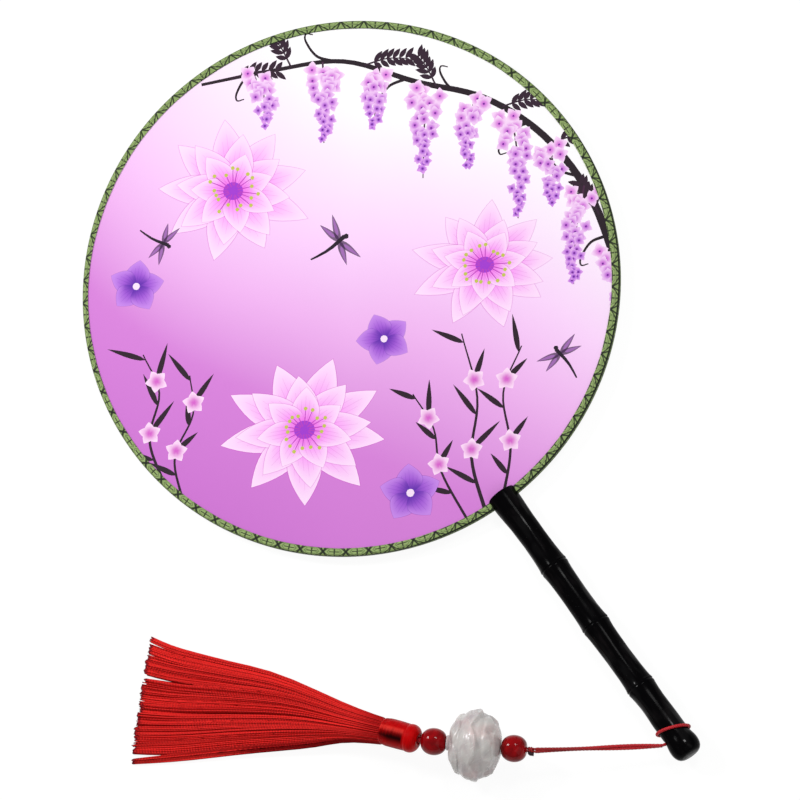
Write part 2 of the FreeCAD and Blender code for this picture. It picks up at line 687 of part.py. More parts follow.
def make_hanger_knot():
    """Stopper knot of the string inside the head, with its neck in the head's hole."""
    ball = primitive("Sphere", "HangerBall", Vector(0, 0, hanger_depth()), Radius=cell("hanger_knot_radius"))
    start = size("string_cord") / 2 + size("swing_gap")
    depth = "Sizes.head_wall + Sizes.bead_play + Sizes.hanger_knot_radius + Sizes.glue"
    neck = primitive(
        "Cylinder", "HangerNeck", Vector(0, 0, start),
        Radius="Sizes.string_cord / 2", Height=f"{depth} - Sizes.string_cord / 2 - Sizes.swing_gap",
    )
    knot = fused("hanger_knot", ball, neck)
    knot.Placement = HEAD
    return knot


def make_tie():
    """Thread binding round the neck of the bundle, under the sleeve."""
    outer = primitive("Cylinder", "TieOuter", Radius=BUNDLE_RADIUS, Height=cell("tie_width"))
    inner = primitive("Cylinder", "TieInner", Radius=f"{CORE_RADIUS} + Sizes.glue", Height=cell("tie_width"))
    tie = difference("tassel_tie", outer, inner)
    tie.Placement = HEAD * Placement(Vector(0, 0, size("head_length") / 2), Rotation())
    return tie


def thread_section(centre, way, half_width, half_height):
    """Rounded outline of the thread bundle, square to its way, from quarter arcs and short lines."""
    place = axis_placement(centre, way)
    corner = CORNER_SHARE * min(half_width, half_height)
    flat_x, flat_y = half_width - corner, half_height - corner
    edges = []
    for quarter in range(4):
        east = math.cos(math.pi / 4 + quarter * math.pi / 2) > 0
        north = math.sin(math.pi / 4 + quarter * math.pi / 2) > 0
        middle = Vector(flat_x if east else -flat_x, flat_y if north else -flat_y, 0)
        first, last = quarter * math.pi / 2, (quarter + 1) * math.pi / 2
        points = [
            middle + Vector(math.cos(angle), math.sin(angle), 0) * corner
            for angle in (first, (first + last) / 2, last)
        ]
        edges.append(points)
    shapes = []
    for index, points in enumerate(edges):
        shapes.append(Part.Arc(*points).toShape())
        shapes.append(Part.LineSegment(points[-1], edges[(index + 1) % 4][0]).toShape())
    wire = Part.Wire(shapes)
    wire.Placement = place
    return wire


def make_skirt():
    """Folded bundle of threads: a round core in the head, then a skirt that fans out on the table."""
    start = hanger_depth() + size("hanger_knot_radius") + size("glue")
    length, radius = size("head_length"), value(BUNDLE_RADIUS)
    head_way = heading(size("head_heading"), size("head_drop"))
    core = Part.makeCylinder(value(CORE_RADIUS), length - start, TASSEL_AXIS + head_way * start, head_way)
    mouth = TASSEL_AXIS + head_way * length
    skirt_way = heading(size("skirt_heading"))
    end_half, floor = size("skirt_end_width") / 2, size("table_gap")
    end_height = size("skirt_end_thick") / 2 + floor
    sections = [
        thread_section(mouth - head_way * size("tie_width"), head_way, radius, radius),
        thread_section(mouth + head_way * size("bundle_play"), head_way, radius, radius),
    ]
    for station in range(1, SKIRT_STATIONS + 1):
        along = station / SKIRT_STATIONS
        middle = mouth + skirt_way * (along * size("skirt_length"))
        middle.z = end_height + (mouth.z - end_height) * (1 - along) ** SKIRT_SINK
        spread = math.sin(math.pi / 2 * along**SKIRT_SPREAD)
        half_width = radius + (end_half - radius) * spread
        half_height = min(middle.z - floor, radius * SKIRT_BULK)
        sections.append(thread_section(middle, skirt_way, half_width, half_height))
    threads = Part.makeLoft(sections, True, True)
    return feature("tassel_skirt", core.fuse(threads).removeSplitter())


def make_pieces():
    """Every piece of the fan, in the order it is put together."""
    pieces = [make_hoop(), *make_silks(), make_binding(), make_handle(), make_wedges(), make_wrap()]
    pieces += make_strands()
    pieces += [make_knot(), make_bead_cord()]
    pieces += [make_red_bead("upper_bead", STOPS["upper"]), make_lotus()]
    pieces += [make_red_bead("lower_bead", STOPS["lower"])]
    pieces += [make_head(), make_hanger_knot(), make_tie(), make_skirt()]
    return pieces


PIECES = make_pieces()
doc.recompute()

for thing in doc.Objects:
    if "Invalid" in thing.State or "Error" in thing.State:
        raise RuntimeError(f"{thing.Label} failed: {thing.State}")
for piece in PIECES:
    if piece.Shape.isNull() or not piece.Shape.isValid():
        raise RuntimeError(f"{piece.Label} has no valid shape")

os.makedirs("parts", exist_ok=True)
for piece in PIECES:
    piece.Shape.exportStep(f"parts/{piece.Label}.step")

BUTT = HANDLE.multVec(Vector(0, 0, size("handle_length")))
places = (("swing axis", MOUTH), ("lift axis", KNOT), ("tassel axis", TASSEL_AXIS), ("butt", BUTT))
for name, place in places:
    print(f"{name} at ({place.x:.4f}, {place.y:.4f}, {place.z:.4f}) mm")
print(f"string runs along ({STRING_WAY.x:.6f}, {STRING_WAY.y:.6f}, 0), lift axis along "
      f"({STRING_SIDE.x:.6f}, {STRING_SIDE.y:.6f}, 0)")
print(f"the fan tilts by {math.degrees(tilt):.4f} degrees")
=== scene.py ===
"""Round silk fan with a beaded tassel pendant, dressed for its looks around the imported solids."""

import logging
import math
import random
from collections.abc import Callable, Mapping, Sequence
from dataclasses import dataclass, field
from enum import Enum

import bpy
from bpy.types import Material, Node, NodeSocket, Object
from mathutils import Matrix, Vector, geometry, noise


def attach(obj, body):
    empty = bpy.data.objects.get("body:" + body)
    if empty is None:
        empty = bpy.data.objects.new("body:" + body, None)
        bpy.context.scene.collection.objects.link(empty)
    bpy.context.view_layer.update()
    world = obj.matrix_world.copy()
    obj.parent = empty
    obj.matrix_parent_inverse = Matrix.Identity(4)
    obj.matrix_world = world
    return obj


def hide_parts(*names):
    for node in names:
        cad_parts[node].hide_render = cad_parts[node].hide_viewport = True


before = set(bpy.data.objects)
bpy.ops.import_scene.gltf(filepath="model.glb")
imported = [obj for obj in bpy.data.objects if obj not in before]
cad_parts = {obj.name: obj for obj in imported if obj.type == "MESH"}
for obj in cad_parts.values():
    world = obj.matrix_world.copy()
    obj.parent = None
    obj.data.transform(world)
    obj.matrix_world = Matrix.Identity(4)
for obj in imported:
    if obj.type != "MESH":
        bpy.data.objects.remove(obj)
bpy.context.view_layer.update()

LOG = logging.getLogger("fan")
MM = 0.001
UP = Vector((0.0, 0.0, 1.0))
PRINT = "print"
WRAPPED = "UVMap"
# Radians that a wave texture turns by in one unit of its scale
WAVE_RATE = 20.0

Pair = tuple[float, float]
Triple = tuple[float, float, float]
Table = tuple[Pair, ...]
Colour = Triple
Stain = tuple[float, float, float, float]

BLACK: Colour = (0.0, 0.0, 0.0)


def held(value: float, low: float = 0.0, high: float = 1.0) -> float:
    """Keep a value between two limits."""
    return min(max(value, low), high)


def around(angle: float, reach: float, height: float = 0.0) -> Vector:
    """Point at an angle and a distance round the Z axis."""
    return Vector((math.cos(angle) * reach, math.sin(angle) * reach, height))


def through(points: Sequence[Vector], share: float) -> Vector:
    """Point of the smooth line through four points, between the second and the third.

    Args:
        points: The four points, in order.
        share: Share of the way from the second to the third.

    Returns:
        The point there.
    """
    a, b, c, d = points
    bend = a * 2 - b * 5 + c * 4 - d
    swing = b * 3 - a - c * 3 + d
    return (b * 2 + (c - a) * share + bend * share**2 + swing * share**3) / 2


def way_at(line: Sequence[Vector], index: int) -> Vector:
    """Direction of a line at one of its points."""
    return (line[min(index + 1, len(line) - 1)] - line[max(index - 1, 0)]).normalized()


def length_of(line: Sequence[Vector]) -> float:
    """Length of a line through its points."""
    return sum((b - a).length for a, b in zip(line, line[1:]))


def dye(red: float, green: float, blue: float) -> Colour:
    """Turn a colour as it looks on screen, 0 to 255, into the linear one that shaders mix."""
    levels = (level / 255.0 for level in (red, green, blue))
    return tuple(v / 12.92 if v <= 0.04045 else ((v + 0.055) / 1.055) ** 2.4 for v in levels)


def blend(first: Colour, last: Colour, share: float) -> Colour:
    """Mix two colours by the share of the last one, held to 0 and 1."""
    share = held(share)
    return tuple(a + (b - a) * share for a, b in zip(first, last))


def ease(low: float, high: float, value: float) -> float:
    """Rise smoothly from 0 at low to 1 at high."""
    share = held((value - low) / (high - low))
    return share * share * (3.0 - 2.0 * share)


def along_table(table: Table, place: float) -> float:
    """Read a table of (place, value) pairs with smooth steps between them.

    Args:
        table: Pairs in order of place.
        place: Where to read it.

    Returns:
        The value there.
    """
    for (low, first), (high, last) in zip(table, table[1:]):
        if place <= high:
            return first + (last - first) * ease(low, high, place)
    return table[-1][1]


def axis_frame(base: Vector, way: Vector) -> Matrix:
    """Frame whose Z axis runs along a way and whose X axis is level.

    Args:
        base: Origin, in metres.
        way: Direction of the Z axis.

    Returns:
        The frame as a matrix.
    """
    way = way.normalized()
    level = way.cross(UP).normalized()
    turn = Matrix((level, way.cross(level), way)).transposed().to_4x4()
    return Matrix.Translation(base) @ turn


def heading(degrees: float, drop: float = 0.0) -> Vector:
    """Direction at a heading from +Y towards -X and a drop below level, in degrees."""
    turn, down = math.radians(degrees), math.radians(drop)
    return Vector((-math.sin(turn) * math.cos(down), math.cos(turn) * math.cos(down), -math.sin(down)))


@dataclass(frozen=True)
class Layout:
    """Where the solids lie, from the same sizes as the part's source, in millimetres and degrees."""

    tilt: float = 1.1636
    centre: Triple = (0.0, 73.8, 4.508)
    top_from_centre: float = 119.4
    mouth: Triple = (-8.15, -187.3461, 9.812)
    knot: Triple = (-55.7931, -155.6921, 17.15)
    tassel: Triple = (-96.2388, -119.2747, 17.15)
    strand_heading: float = 56.4
    string_heading: float = 48.0
    head_heading: float = 36.4
    head_drop: float = 10.0

    def fan(self) -> Matrix:
        """Frame of the face: Z out of the front silk, Y away from the handle."""
        lean = Matrix.Rotation(-math.radians(self.tilt), 4, "X")
        return Matrix.Translation(Vector(self.centre) * MM) @ lean

    def handle(self) -> Matrix:
        """Frame of the handle: Z from its top end to its butt, Y out of the front."""
        upright = Matrix.Rotation(math.radians(90.0), 4, "X")
        return self.fan() @ Matrix.Translation((0.0, -self.top_from_centre * MM, 0.0)) @ upright

    def string(self) -> Matrix:
        """Frame of the beaded string: Z from the knot to the tassel."""
        return axis_frame(Vector(self.knot) * MM, heading(self.string_heading))

    def head(self) -> Matrix:
        """Frame of the tassel head: Z from its top to the skirt."""
        return axis_frame(Vector(self.tassel) * MM, heading(self.head_heading, self.head_drop))


PLACE = Layout()


@dataclass(frozen=True)
class Wire:
    """One output of a node, with the operators that shader maths is written in."""

    shader: "Shader"
    socket: NodeSocket | None

    def math(self, operation: str, *others: "float | Wire") -> "Wire":
        """Put this value first into a Math node of that operation."""
        return self.shader.node("Math", {"operation": operation}, dict(enumerate((self, *others))))

    def out(self, name: str) -> "Wire":
        """Another output of the same node."""
        return Wire(self.shader, self.socket.node.outputs[name])

    def __add__(self, other: "float | Wire") -> "Wire":
        """Sum."""
        return self.math("ADD", other)

    __radd__ = __add__

    def __mul__(self, other: "float | Wire") -> "Wire":
        """Product."""
        return self.math("MULTIPLY", other)

    __rmul__ = __mul__

    def __sub__(self, other: "float | Wire") -> "Wire":
        """Difference."""
        return self.math("SUBTRACT", other)

    def __rsub__(self, other: float) -> "Wire":
        """Difference from a number."""
        return self.math("MULTIPLY", -1.0) + other

    def __truediv__(self, other: "float | Wire") -> "Wire":
        """Quotient."""
        return self.math("DIVIDE", other)

    def __abs__(self) -> "Wire":
        """Size without sign."""
        return self.math("ABSOLUTE")

    def lower(self, other: "float | Wire") -> "Wire":
        """The smaller of two values."""
        return self.math("MINIMUM", other)

    def upper(self, other: "float | Wire") -> "Wire":
        """The larger of two values."""
        return self.math("MAXIMUM", other)

    def near_repeat(self) -> "Wire":
        """Distance from the nearest whole number, with its sign."""
        return self - self.math("ROUND")

    def wave(self) -> "Wire":
        """Wave from 0 to 1 over this angle."""
        return self.math("SINE") * 0.5 + 0.5

    def fade(self, low: float, high: float) -> "Wire":
        """Smooth step from 0 at low to 1 at high, whichever is the larger.

        Args:
            low: Value that gives 0.
            high: Value that gives 1.

        Returns:
            The step.
        """
        ends = (low, high, 0.0, 1.0) if low < high else (high, low, 1.0, 0.0)
        names = ("From Min", "From Max", "To Min", "To Max")
        inputs = {"Value": self, **dict(zip(names, ends))}
        return self.shader.node("MapRange", {"interpolation_type": "SMOOTHSTEP"}, inputs)


class Shader:
    """One material and the making of its nodes."""

    def __init__(self, name: str) -> None:
        """Start an empty material of that name.

        Args:
            name: Name of the material.
        """
        self.material = bpy.data.materials.new(name)
        self.material.use_nodes = True
        self.tree = self.material.node_tree
        self.tree.nodes.clear()

    def node(
        self,
        kind: str,
        settings: Mapping[str, object] | None = None,
        inputs: Mapping[str | int, object] | None = None,
    ) -> Wire:
        """Add a node.

        Args:
            kind: Node type without its ShaderNode prefix.
            settings: Properties, set before the inputs.
            inputs: Values or wires of its sockets, by name or number.

        Returns:
            Its first output in use, if it has one.
        """
        made = self.tree.nodes.new("ShaderNode" + kind)
        for name, value in (settings or {}).items():
            setattr(made, name, value)
        for name, value in (inputs or {}).items():
            socket = self.find_socket(made, name)
            if isinstance(value, Wire):
                self.tree.links.new(value.socket, socket)
            else:
                socket.default_value = value
        return Wire(self, next((socket for socket in made.outputs if socket.enabled), None))

    @staticmethod
    def find_socket(made: Node, name: str | int) -> NodeSocket:
        """Find an input in use by its name, or by its number.

        Args:
            made: The node.
            name: Name or number of its input.

        Returns:
            The socket.
        """
        if isinstance(name, int):
            return made.inputs[name]
        return next(socket for socket in made.inputs if socket.name == name and socket.enabled)

    def place(self) -> Wire:
        """Object coordinates, in metres."""
        return self.node("TexCoord").out("Object")

    def wrapped(self) -> tuple[Wire, Wire]:
        """The piece's own UV map, in metres along and across."""
        parts = self.node("SeparateXYZ", {}, {"Vector": self.node("UVMap", {"uv_map": WRAPPED})})
        return parts, parts.out("Y")

    def grain(self, vector: Wire, scale: float, detail: float = 3.0, swirl: float = 0.0) -> Wire:
        """Noise from 0 to 1."""
        inputs = {"Vector": vector, "Scale": scale, "Detail": detail, "Distortion": swirl}
        return self.node("TexNoise", {}, inputs)

    def tint(self, first: "Colour | Wire", last: "Colour | Wire", share: Wire) -> Wire:
        """Mix two colours by a share."""
        ends = [end if isinstance(end, Wire) else (*end, 1.0) for end in (first, last)]
        return self.node("Mix", {"data_type": "RGBA"}, {"Factor": share, "A": ends[0], "B": ends[1]})

    def relief(self, height: Wire, depth: float, strength: float = 1.0) -> Wire:
        """Bump normal of a height from 0 to 1."""
        return self.node("Bump", {}, {"Height": height, "Distance": depth, "Strength": strength})

    def stretched(
        self, vector: Wire, scale: Sequence[float], turn: Sequence[float] = (0.0, 0.0, 0.0)
    ) -> Wire:
        """Coordinates turned and scaled by axis."""
        return self.node("Mapping", {}, {"Vector": vector, "Rotation": tuple(turn), "Scale": tuple(scale)})

    def surface(self, **sockets: object) -> Material:
        """Close the material with a Principled surface; socket names are written with underscores.

        Args:
            sockets: Values or wires of its sockets.

        Returns:
            The material.
        """
        inputs = {key.replace("_", " "): value for key, value in sockets.items()}
        skin = self.node("BsdfPrincipled", {}, inputs)
        self.node("OutputMaterial", {}, {"Surface": skin})
        return self.material


@dataclass(frozen=True)
class PrintedSilk:
    """Satin with its print in a colour attribute."""

    thread: float = 0.42 * MM
    weft_share: float = 0.8
    clouds: float = 60.0
    depth: float = 0.03 * MM
    roughness: float = 0.62
    rough_play: float = 0.12
    gloss: float = 0.25

    def material(self, name: str) -> Material:
        """Make the finish.

        Args:
            name: Name of the material.

        Returns:
            The material.
        """
        shader = Shader(name)
        ink = shader.node("VertexColor", {"layer_name": PRINT})
        place = shader.place()
        bands = math.tau / (WAVE_RATE * self.thread)
        warp = shader.node("TexWave", {"bands_direction": "X"}, {"Vector": place, "Scale": bands})
        bands *= self.weft_share
        weft = shader.node("TexWave", {"bands_direction": "Y"}, {"Vector": place, "Scale": bands})
        weave = (warp + weft) * 0.5
        cloudy = shader.grain(place, self.clouds)
        shade = (weave * 0.05 + cloudy * 0.05).fade(-0.05, 0.2)
        colour = shader.tint(shader.tint(BLACK, ink, shade * 0.08 + 0.92), ink, shade)
        return shader.surface(
            Base_Color=colour,
            Roughness=cloudy * self.rough_play + (self.roughness - self.rough_play / 2),
            Specular_IOR_Level=self.gloss,
            Sheen_Weight=0.05,
            Sheen_Roughness=0.4,
            Normal=shader.relief(weave, self.depth, 0.4),
        )


@dataclass(frozen=True)
class Brocade:
    """Woven tape: a row of long hexagons with a cross, and dark knots with rays between them.

    The figure inside one repeat is drawn in millimetres from the middle of its hexagon.
    """

    repeat: float = 10.8 * MM
    row: float = 7.5 * MM
    figure: Colour = dye(132, 158, 90)
    bright: Colour = dye(168, 192, 122)
    dark: Colour = dye(22, 30, 14)
    half_width: float = 1.62
    half_length: float = 4.75
    slant: float = 0.9
    border: float = 2.75
    far_border: float = 3.15
    edge: float = 0.15
    rays: Table = ((0.62, 0.95), (1.02, 0.95))
    flecks: float = 900.0
    warp: float = 0.34 * MM
    weft: float = 0.42 * MM
    depth: float = 0.12 * MM
    gloss: float = 0.3

    def material(self, name: str) -> Material:
        """Make the finish.

        Args:
            name: Name of the material.

        Returns:
            The material.
        """
        shader = Shader(name)
        along, across = shader.wrapped()
        mm = 1.0 / MM
        far = abs((along / self.repeat).near_repeat()) * (self.repeat * mm)
        side = (across / self.row).near_repeat() * (self.row * mm)
        off = abs(side)
        hexagon = (off / self.half_width).upper((far + off * self.slant) / self.half_length)
        body = hexagon.fade(1.03, 0.97)
        inset = hexagon.fade(0.62, 0.68) * hexagon.fade(0.8, 0.74)
        rim = hexagon.fade(0.93, 1.0) * hexagon.fade(1.16, 1.08)
        spine = off.fade(0.28, 0.15) * far.fade(2.7, 2.4)
        bar = far.fade(0.42, 0.26) * off.fade(1.45, 1.3)
        tick = far.fade(0.46, 0.3) * off.fade(1.7, 1.85) * off.fade(3.2, 3.0)
        from_knot = self.repeat * mm / 2.0 - far
        spread = off.math("ARCTAN2", from_knot)
        reach = (off * off + from_knot * from_knot).math("SQRT")
        lines = rim * 0.8
        for angle, weight in self.rays:
            lines = lines.upper((abs(spread - angle) * reach).fade(0.44, 0.24) * weight)
        lines = lines * (1.0 - body * 0.5)
        lines = lines.upper(inset * 0.5).upper(spine * 0.9).upper(bar * 0.9).upper(tick * 0.85)
        lines = lines.upper(reach.fade(0.95, 0.6)).upper(side.fade(-self.border, -self.border - self.edge))
        lines = lines.upper(side.fade(self.far_border, self.far_border + self.edge))
        fleck = shader.grain(shader.place(), self.flecks, 2.0)
        green = shader.tint(self.figure, self.bright, fleck.fade(0.3, 0.7) * 0.6 + body * 0.3)
        colour = shader.tint(green, self.dark, lines)
        threads = (across * (math.tau / self.warp)).wave()
        picks = (along * (math.tau / self.weft)).wave()
        colour = shader.tint(colour, self.dark, (1.0 - threads * picks) * 0.16)
        height = body * 0.4 - lines * 0.4 + threads * picks * 0.5
        return shader.surface(
            Base_Color=colour,
            Roughness=fleck * 0.2 + 0.55,
            Specular_IOR_Level=self.gloss,
            Normal=shader.relief(height, self.depth, 0.7),
        )


@dataclass(frozen=True)
class BlackLacquer:
    """Glossy black lacquer with rubbed spots and dust in its skin."""

    colour: Colour = (0.0016, 0.0014, 0.0018)
    worn: Colour = (0.005, 0.004, 0.0046)
    waves: float = 130.0
    pits: float = 900.0
    rubs: float = 260.0
    shines: float = 170.0
    depth: float = 0.32 * MM
    gloss: float = 0.02

    def material(self, name: str) -> Material:
        """Make the finish.

        Args:
            name: Name of the material.

        Returns:
            The material.
        """
        shader = Shader(name)
        place = shader.place()
        waves = shader.grain(place, self.waves, 2.0)
        pits = shader.grain(place, self.pits, 2.0).fade(0.66, 0.74)
        rubbed = shader.grain(shader.stretched(place, (1.0, 0.25, 1.0)), self.rubs).fade(0.55, 0.75)
        height = waves * 0.7 - pits * 0.5
        glossy = shader.grain(shader.stretched(place, (1.0, 0.3, 1.0)), self.shines, 2.0).fade(0.48, 0.62)
        return shader.surface(
            Base_Color=shader.tint(self.colour, self.worn, rubbed),
            Roughness=rubbed * 0.1 + 0.2,
            Specular_IOR_Level=self.gloss,
            Coat_Weight=glossy * 0.19 + 0.01,
            Coat_Roughness=0.07,
            Normal=shader.relief(height, self.depth, 0.6),
        )


@dataclass(frozen=True)
class Braid:
    """Fine red cord: two sets of threads crossing on the slant, darker towards its far end."""

    colour: Colour = dye(214, 24, 38)
    shade: Colour = dye(124, 8, 18)
    far_tone: Colour = dye(122, 18, 16)
    far_tone_from: float = 0.025
    far_tone_to: float = 0.045
    burnt: Colour = dye(34, 8, 20)
    burnt_from: float = 0.2
    pitch: float = 0.9 * MM
    starts: float = 3.0
    fibres: float = 2600.0
    stitches: float = 1400.0
    depth: float = 0.08 * MM
    gloss: float = 0.35

    def material(self, name: str, wrapped: bool = True) -> Material:
        """Make the finish.

        Args:
            name: Name of the material.
            wrapped: Whether the piece has a UV map; otherwise its place is read.

        Returns:
            The material.
        """
        shader = Shader(name)
        place = shader.place()
        fibre = shader.grain(place, self.fibres, 2.0)
        if wrapped:
            along, turns = shader.wrapped()
            turn = turns * math.tau
            run = along * (math.tau / self.pitch)
            right = (run + turn * self.starts).wave()
            left = (run - turn * self.starts).wave()
            plait = right.upper(left)
        else:
            plait = shader.grain(place, self.stitches, 1.0).fade(0.3, 0.7)
        share = (plait * 0.75 + fibre * 0.35).fade(0.25, 1.0)
        colour = shader.tint(self.shade, self.colour, share)
        if wrapped:
            # Darker towards the far end of each strand
            colour = shader.tint(colour, self.far_tone, along.fade(self.far_tone_from, self.far_tone_to) * 0.65)
            colour = shader.tint(colour, self.burnt, along.fade(self.burnt_from, self.burnt_from + MM))
        return shader.surface(
            Base_Color=colour,
            Roughness=fibre * 0.2 + 0.45,
            Specular_IOR_Level=self.gloss,
            Sheen_Weight=0.1,
            Sheen_Tint=(*self.colour, 1.0),
            Normal=shader.relief(plait + fibre * 0.3, self.depth, 0.7),
        )


@dataclass(frozen=True)
class PolishedBead:
    """Deep red polished bead with faint swirls under the gloss."""

    colour: Colour = dye(154, 2, 10)
    deep: Colour = dye(98, 0, 4)
    swirls: float = 160.0
    swirl_turn: float = 1.2
    specks: float = 1500.0
    depth: float = 0.02 * MM
    gloss: float = 0.16

    def material(self, name: str) -> Material:
        """Make the finish.

        Args:
            name: Name of the material.

        Returns:
            The material.
        """
        shader = Shader(name)
        place = shader.place()
        swirl = shader.grain(place, self.swirls, 4.0, self.swirl_turn)
        specks = shader.grain(place, self.specks, 2.0).fade(0.6, 0.75)
        share = (swirl.fade(0.3, 0.75) + specks * 0.25).lower(1.0)
        return shader.surface(
            Base_Color=shader.tint(self.colour, self.deep, share * 0.75),
            Roughness=specks * 0.1 + 0.1,
            Specular_IOR_Level=self.gloss,
            Normal=shader.relief(specks, self.depth, 0.3),
        )


@dataclass(frozen=True)
class MilkyStone:
    """Milky carved stone: cloudy white, a little warm, with polishing scratches whose paleness is partly a
    painted highlight.
    """

    pale: Colour = dye(214, 211, 207)
    cloud: Colour = dye(192, 184, 184)
    blush: Colour = dye(226, 190, 190)
    # Pale colour of the scratches, partly a painted highlight
    scratch_and_glint: Colour = (0.9, 0.9, 0.88)
    clouds: float = 120.0
    cloud_turn: float = 0.8
    blushes: float = 70.0
    scratches: float = 420.0
    scratch_turn: Triple = (0.4, 0.3, 0.9)
    scratch_shape: Triple = (1.0, 7.0, 1.0)
    light_reach: Triple = (1.7, 1.5, 1.45)
    light_depth: float = 1.8 * MM
    depth: float = 0.08 * MM
    gloss: float = 0.5

    def material(self, name: str) -> Material:
        """Make the finish.

        Args:
            name: Name of the material.

        Returns:
            The material.
        """
        shader = Shader(name)
        place = shader.place()
        clouds = shader.grain(place, self.clouds, 4.0, self.cloud_turn)
        warm = shader.grain(place, self.blushes, 2.0).fade(0.48, 0.68)
        turned = shader.stretched(place, self.scratch_shape, self.scratch_turn)
        scratch_and_glint = shader.grain(turned, self.scratches, 2.0).fade(0.62, 0.7)
        colour = shader.tint(self.pale, self.cloud, clouds.fade(0.3, 0.7))
        colour = shader.tint(colour, self.blush, warm * 0.35)
        # Scratches laid paler: real polishing marks, and partly a painted highlight
        colour = shader.tint(colour, self.scratch_and_glint, scratch_and_glint * 0.5)
        return shader.surface(
            Base_Color=colour,
            Roughness=0.26 - scratch_and_glint * 0.12,
            Specular_IOR_Level=self.gloss,
            Subsurface_Weight=0.85,
            Subsurface_Radius=self.light_reach,
            Subsurface_Scale=self.light_depth,
            Normal=shader.relief(clouds * 0.4 + scratch_and_glint, self.depth, 0.5),
        )


@dataclass(frozen=True)
class WoundSatin:
    """Satin thread wound round the head, with a painted highlight band and a painted shade band along it.

    The bands' places are turns round the head, and their ends are metres along it.
    """

    colour: Colour = dye(226, 12, 14)
    shade: Colour = dye(140, 0, 4)
    # Colour of the painted shade band
    dark: Colour = dye(24, 0, 2)
    # Colour of the painted highlight band
    bright: Colour = dye(255, 66, 56)
    glint: Colour = dye(255, 120, 120)
    thread: float = 0.3 * MM
    wander: float = 0.5 * MM
    wanders: float = 220.0
    streaks: Pair = (2600.0, 3.0)
    streak_turn: float = 0.03
    painted_highlight_at: float = 0.29
    painted_shade_at: float = 0.2
    painted_bands_from: float = 5.2 * MM
    painted_bands_full: float = 6.6 * MM
    painted_shade_full: float = 14.0 * MM
    painted_shade_end: float = 28.0 * MM
    painted_shade_ragged: float = 5.0 * MM
    depth: float = 0.05 * MM
    gloss: float = 0.16

    def material(self, name: str) -> Material:
        """Make the finish.

        Args:
            name: Name of the material.

        Returns:
            The material.
        """
        shader = Shader(name)
        along, turns = shader.wrapped()
        wander = shader.grain(shader.place(), self.wanders, 2.0)
        strands = ((along + wander * self.wander) * (math.tau / self.thread)).wave()
        fine, broad = self.streaks
        drawn = shader.node("CombineXYZ", {}, {"X": along * fine, "Y": turns * broad})
        streak = shader.grain(drawn, 1.0, 2.0)
        share = (strands * 0.45 + streak * 0.7).fade(0.1, 1.0)
        # Painted light: a lighter band and a dark band along the head stand in for the satin's reflections,
        # from the collar onwards
        band = along.fade(self.painted_bands_from, self.painted_bands_full)
        # Distances round the head from the painted highlight and from the painted shade
        near = abs(turns - self.painted_highlight_at + streak * self.streak_turn)
        below = abs(turns - self.painted_shade_at + streak * self.streak_turn)
        colour = shader.tint(self.shade, self.colour, share)
        # Painted highlight along the upper side of the head
        colour = shader.tint(colour, self.bright, near.fade(0.045, 0.01) * band * share)
        # Painted shade along the lower side of the head, narrowing and fading towards the skirt
        tail = (along + streak * self.painted_shade_ragged).fade(self.painted_shade_end, self.painted_shade_full)
        colour = shader.tint(colour, self.dark, (below + (1.0 - tail) * 0.1).fade(0.125, 0.0) * band)
        return shader.surface(
            Base_Color=colour,
            Roughness=0.4 - streak * 0.08,
            Specular_IOR_Level=self.gloss,
            Specular_Tint=(*self.glint, 1.0),
            Normal=shader.relief(strands, self.depth, 0.6),
        )


@dataclass(frozen=True)
class CrimpedThread:
    """Loose red threads, each of its own brightness with painted shade in it, crimped along their length and
    dark at the cut.

    Lengths are metres left to the cut end.
    """

    colour: Colour = dye(255, 48, 44)
    shade: Colour = dye(146, 2, 10)
    cut: Colour = dye(126, 16, 34)
    root: Colour = dye(172, 6, 10)
    glint: Colour = dye(255, 150, 145)
    crimp: float = 1.3 * MM
    own_phase: float = 230.0
    fibres: float = 1500.0
    near_head: float = 110.0 * MM
    loose_share: float = 0.7
    root_from: float = 98.0 * MM
    root_full: float = 116.0 * MM
    cut_from: float = 0.1 * MM
    cut_full: float = 1.1 * MM
    depth: float = 0.12 * MM
    gloss: float = 0.35

    def material(self, name: str) -> Material:
        """Make the finish.

        Args:
            name: Name of the material.

        Returns:
            The material.
        """
        shader = Shader(name)
        # V is each thread's brightness, which holds painted shade at lock edges and a painted shadow near the
        # head
        left, own = shader.wrapped()
        wave = (left * (math.tau / self.crimp) + own * self.own_phase).wave()
        fibre = shader.grain(shader.place(), self.fibres, 2.0)
        loose = left.fade(self.near_head, self.near_head * self.loose_share)
        texture = (wave * 0.4 + fibre * 0.5 - 0.45) * loose * 1.05
        share = (own * 0.8 + 0.12 + texture).fade(0.0, 0.95)
        colour = shader.tint(self.shade, self.colour, share)
        colour = shader.tint(colour, self.root, left.fade(self.root_from, self.root_full) * 0.75)
        return shader.surface(
            Base_Color=shader.tint(self.cut, colour, left.fade(self.cut_from, self.cut_full)),
            Roughness=0.5 - wave * 0.1,
            Specular_IOR_Level=self.gloss,
            Specular_Tint=(*self.glint, 1.0),
            Normal=shader.relief(wave + fibre * 0.3, self.depth, 0.7),
        )


@dataclass(frozen=True)
class LinedStock:
    """Plain stock with long lines in it, such as drawn wire or split bamboo.

    Its shape is the scale of the lines by axis, and its fade is where one colour goes over to the other.
    """

    first: Colour
    last: Colour
    lines: float
    shape: Triple
    fade: Pair
    depth: float
    strength: float
    roughness: float
    metal: float

    def material(self, name: str) -> Material:
        """Make the finish.

        Args:
            name: Name of the material.

        Returns:
            The material.
        """
        shader = Shader(name)
        lines = shader.grain(shader.stretched(shader.place(), self.shape), self.lines)
        return shader.surface(
            Base_Color=shader.tint(self.first, self.last, lines.fade(*self.fade)),
            Metallic=self.metal,
            Roughness=lines * 0.2 + self.roughness,
            Normal=shader.relief(lines, self.depth, self.strength),
        )


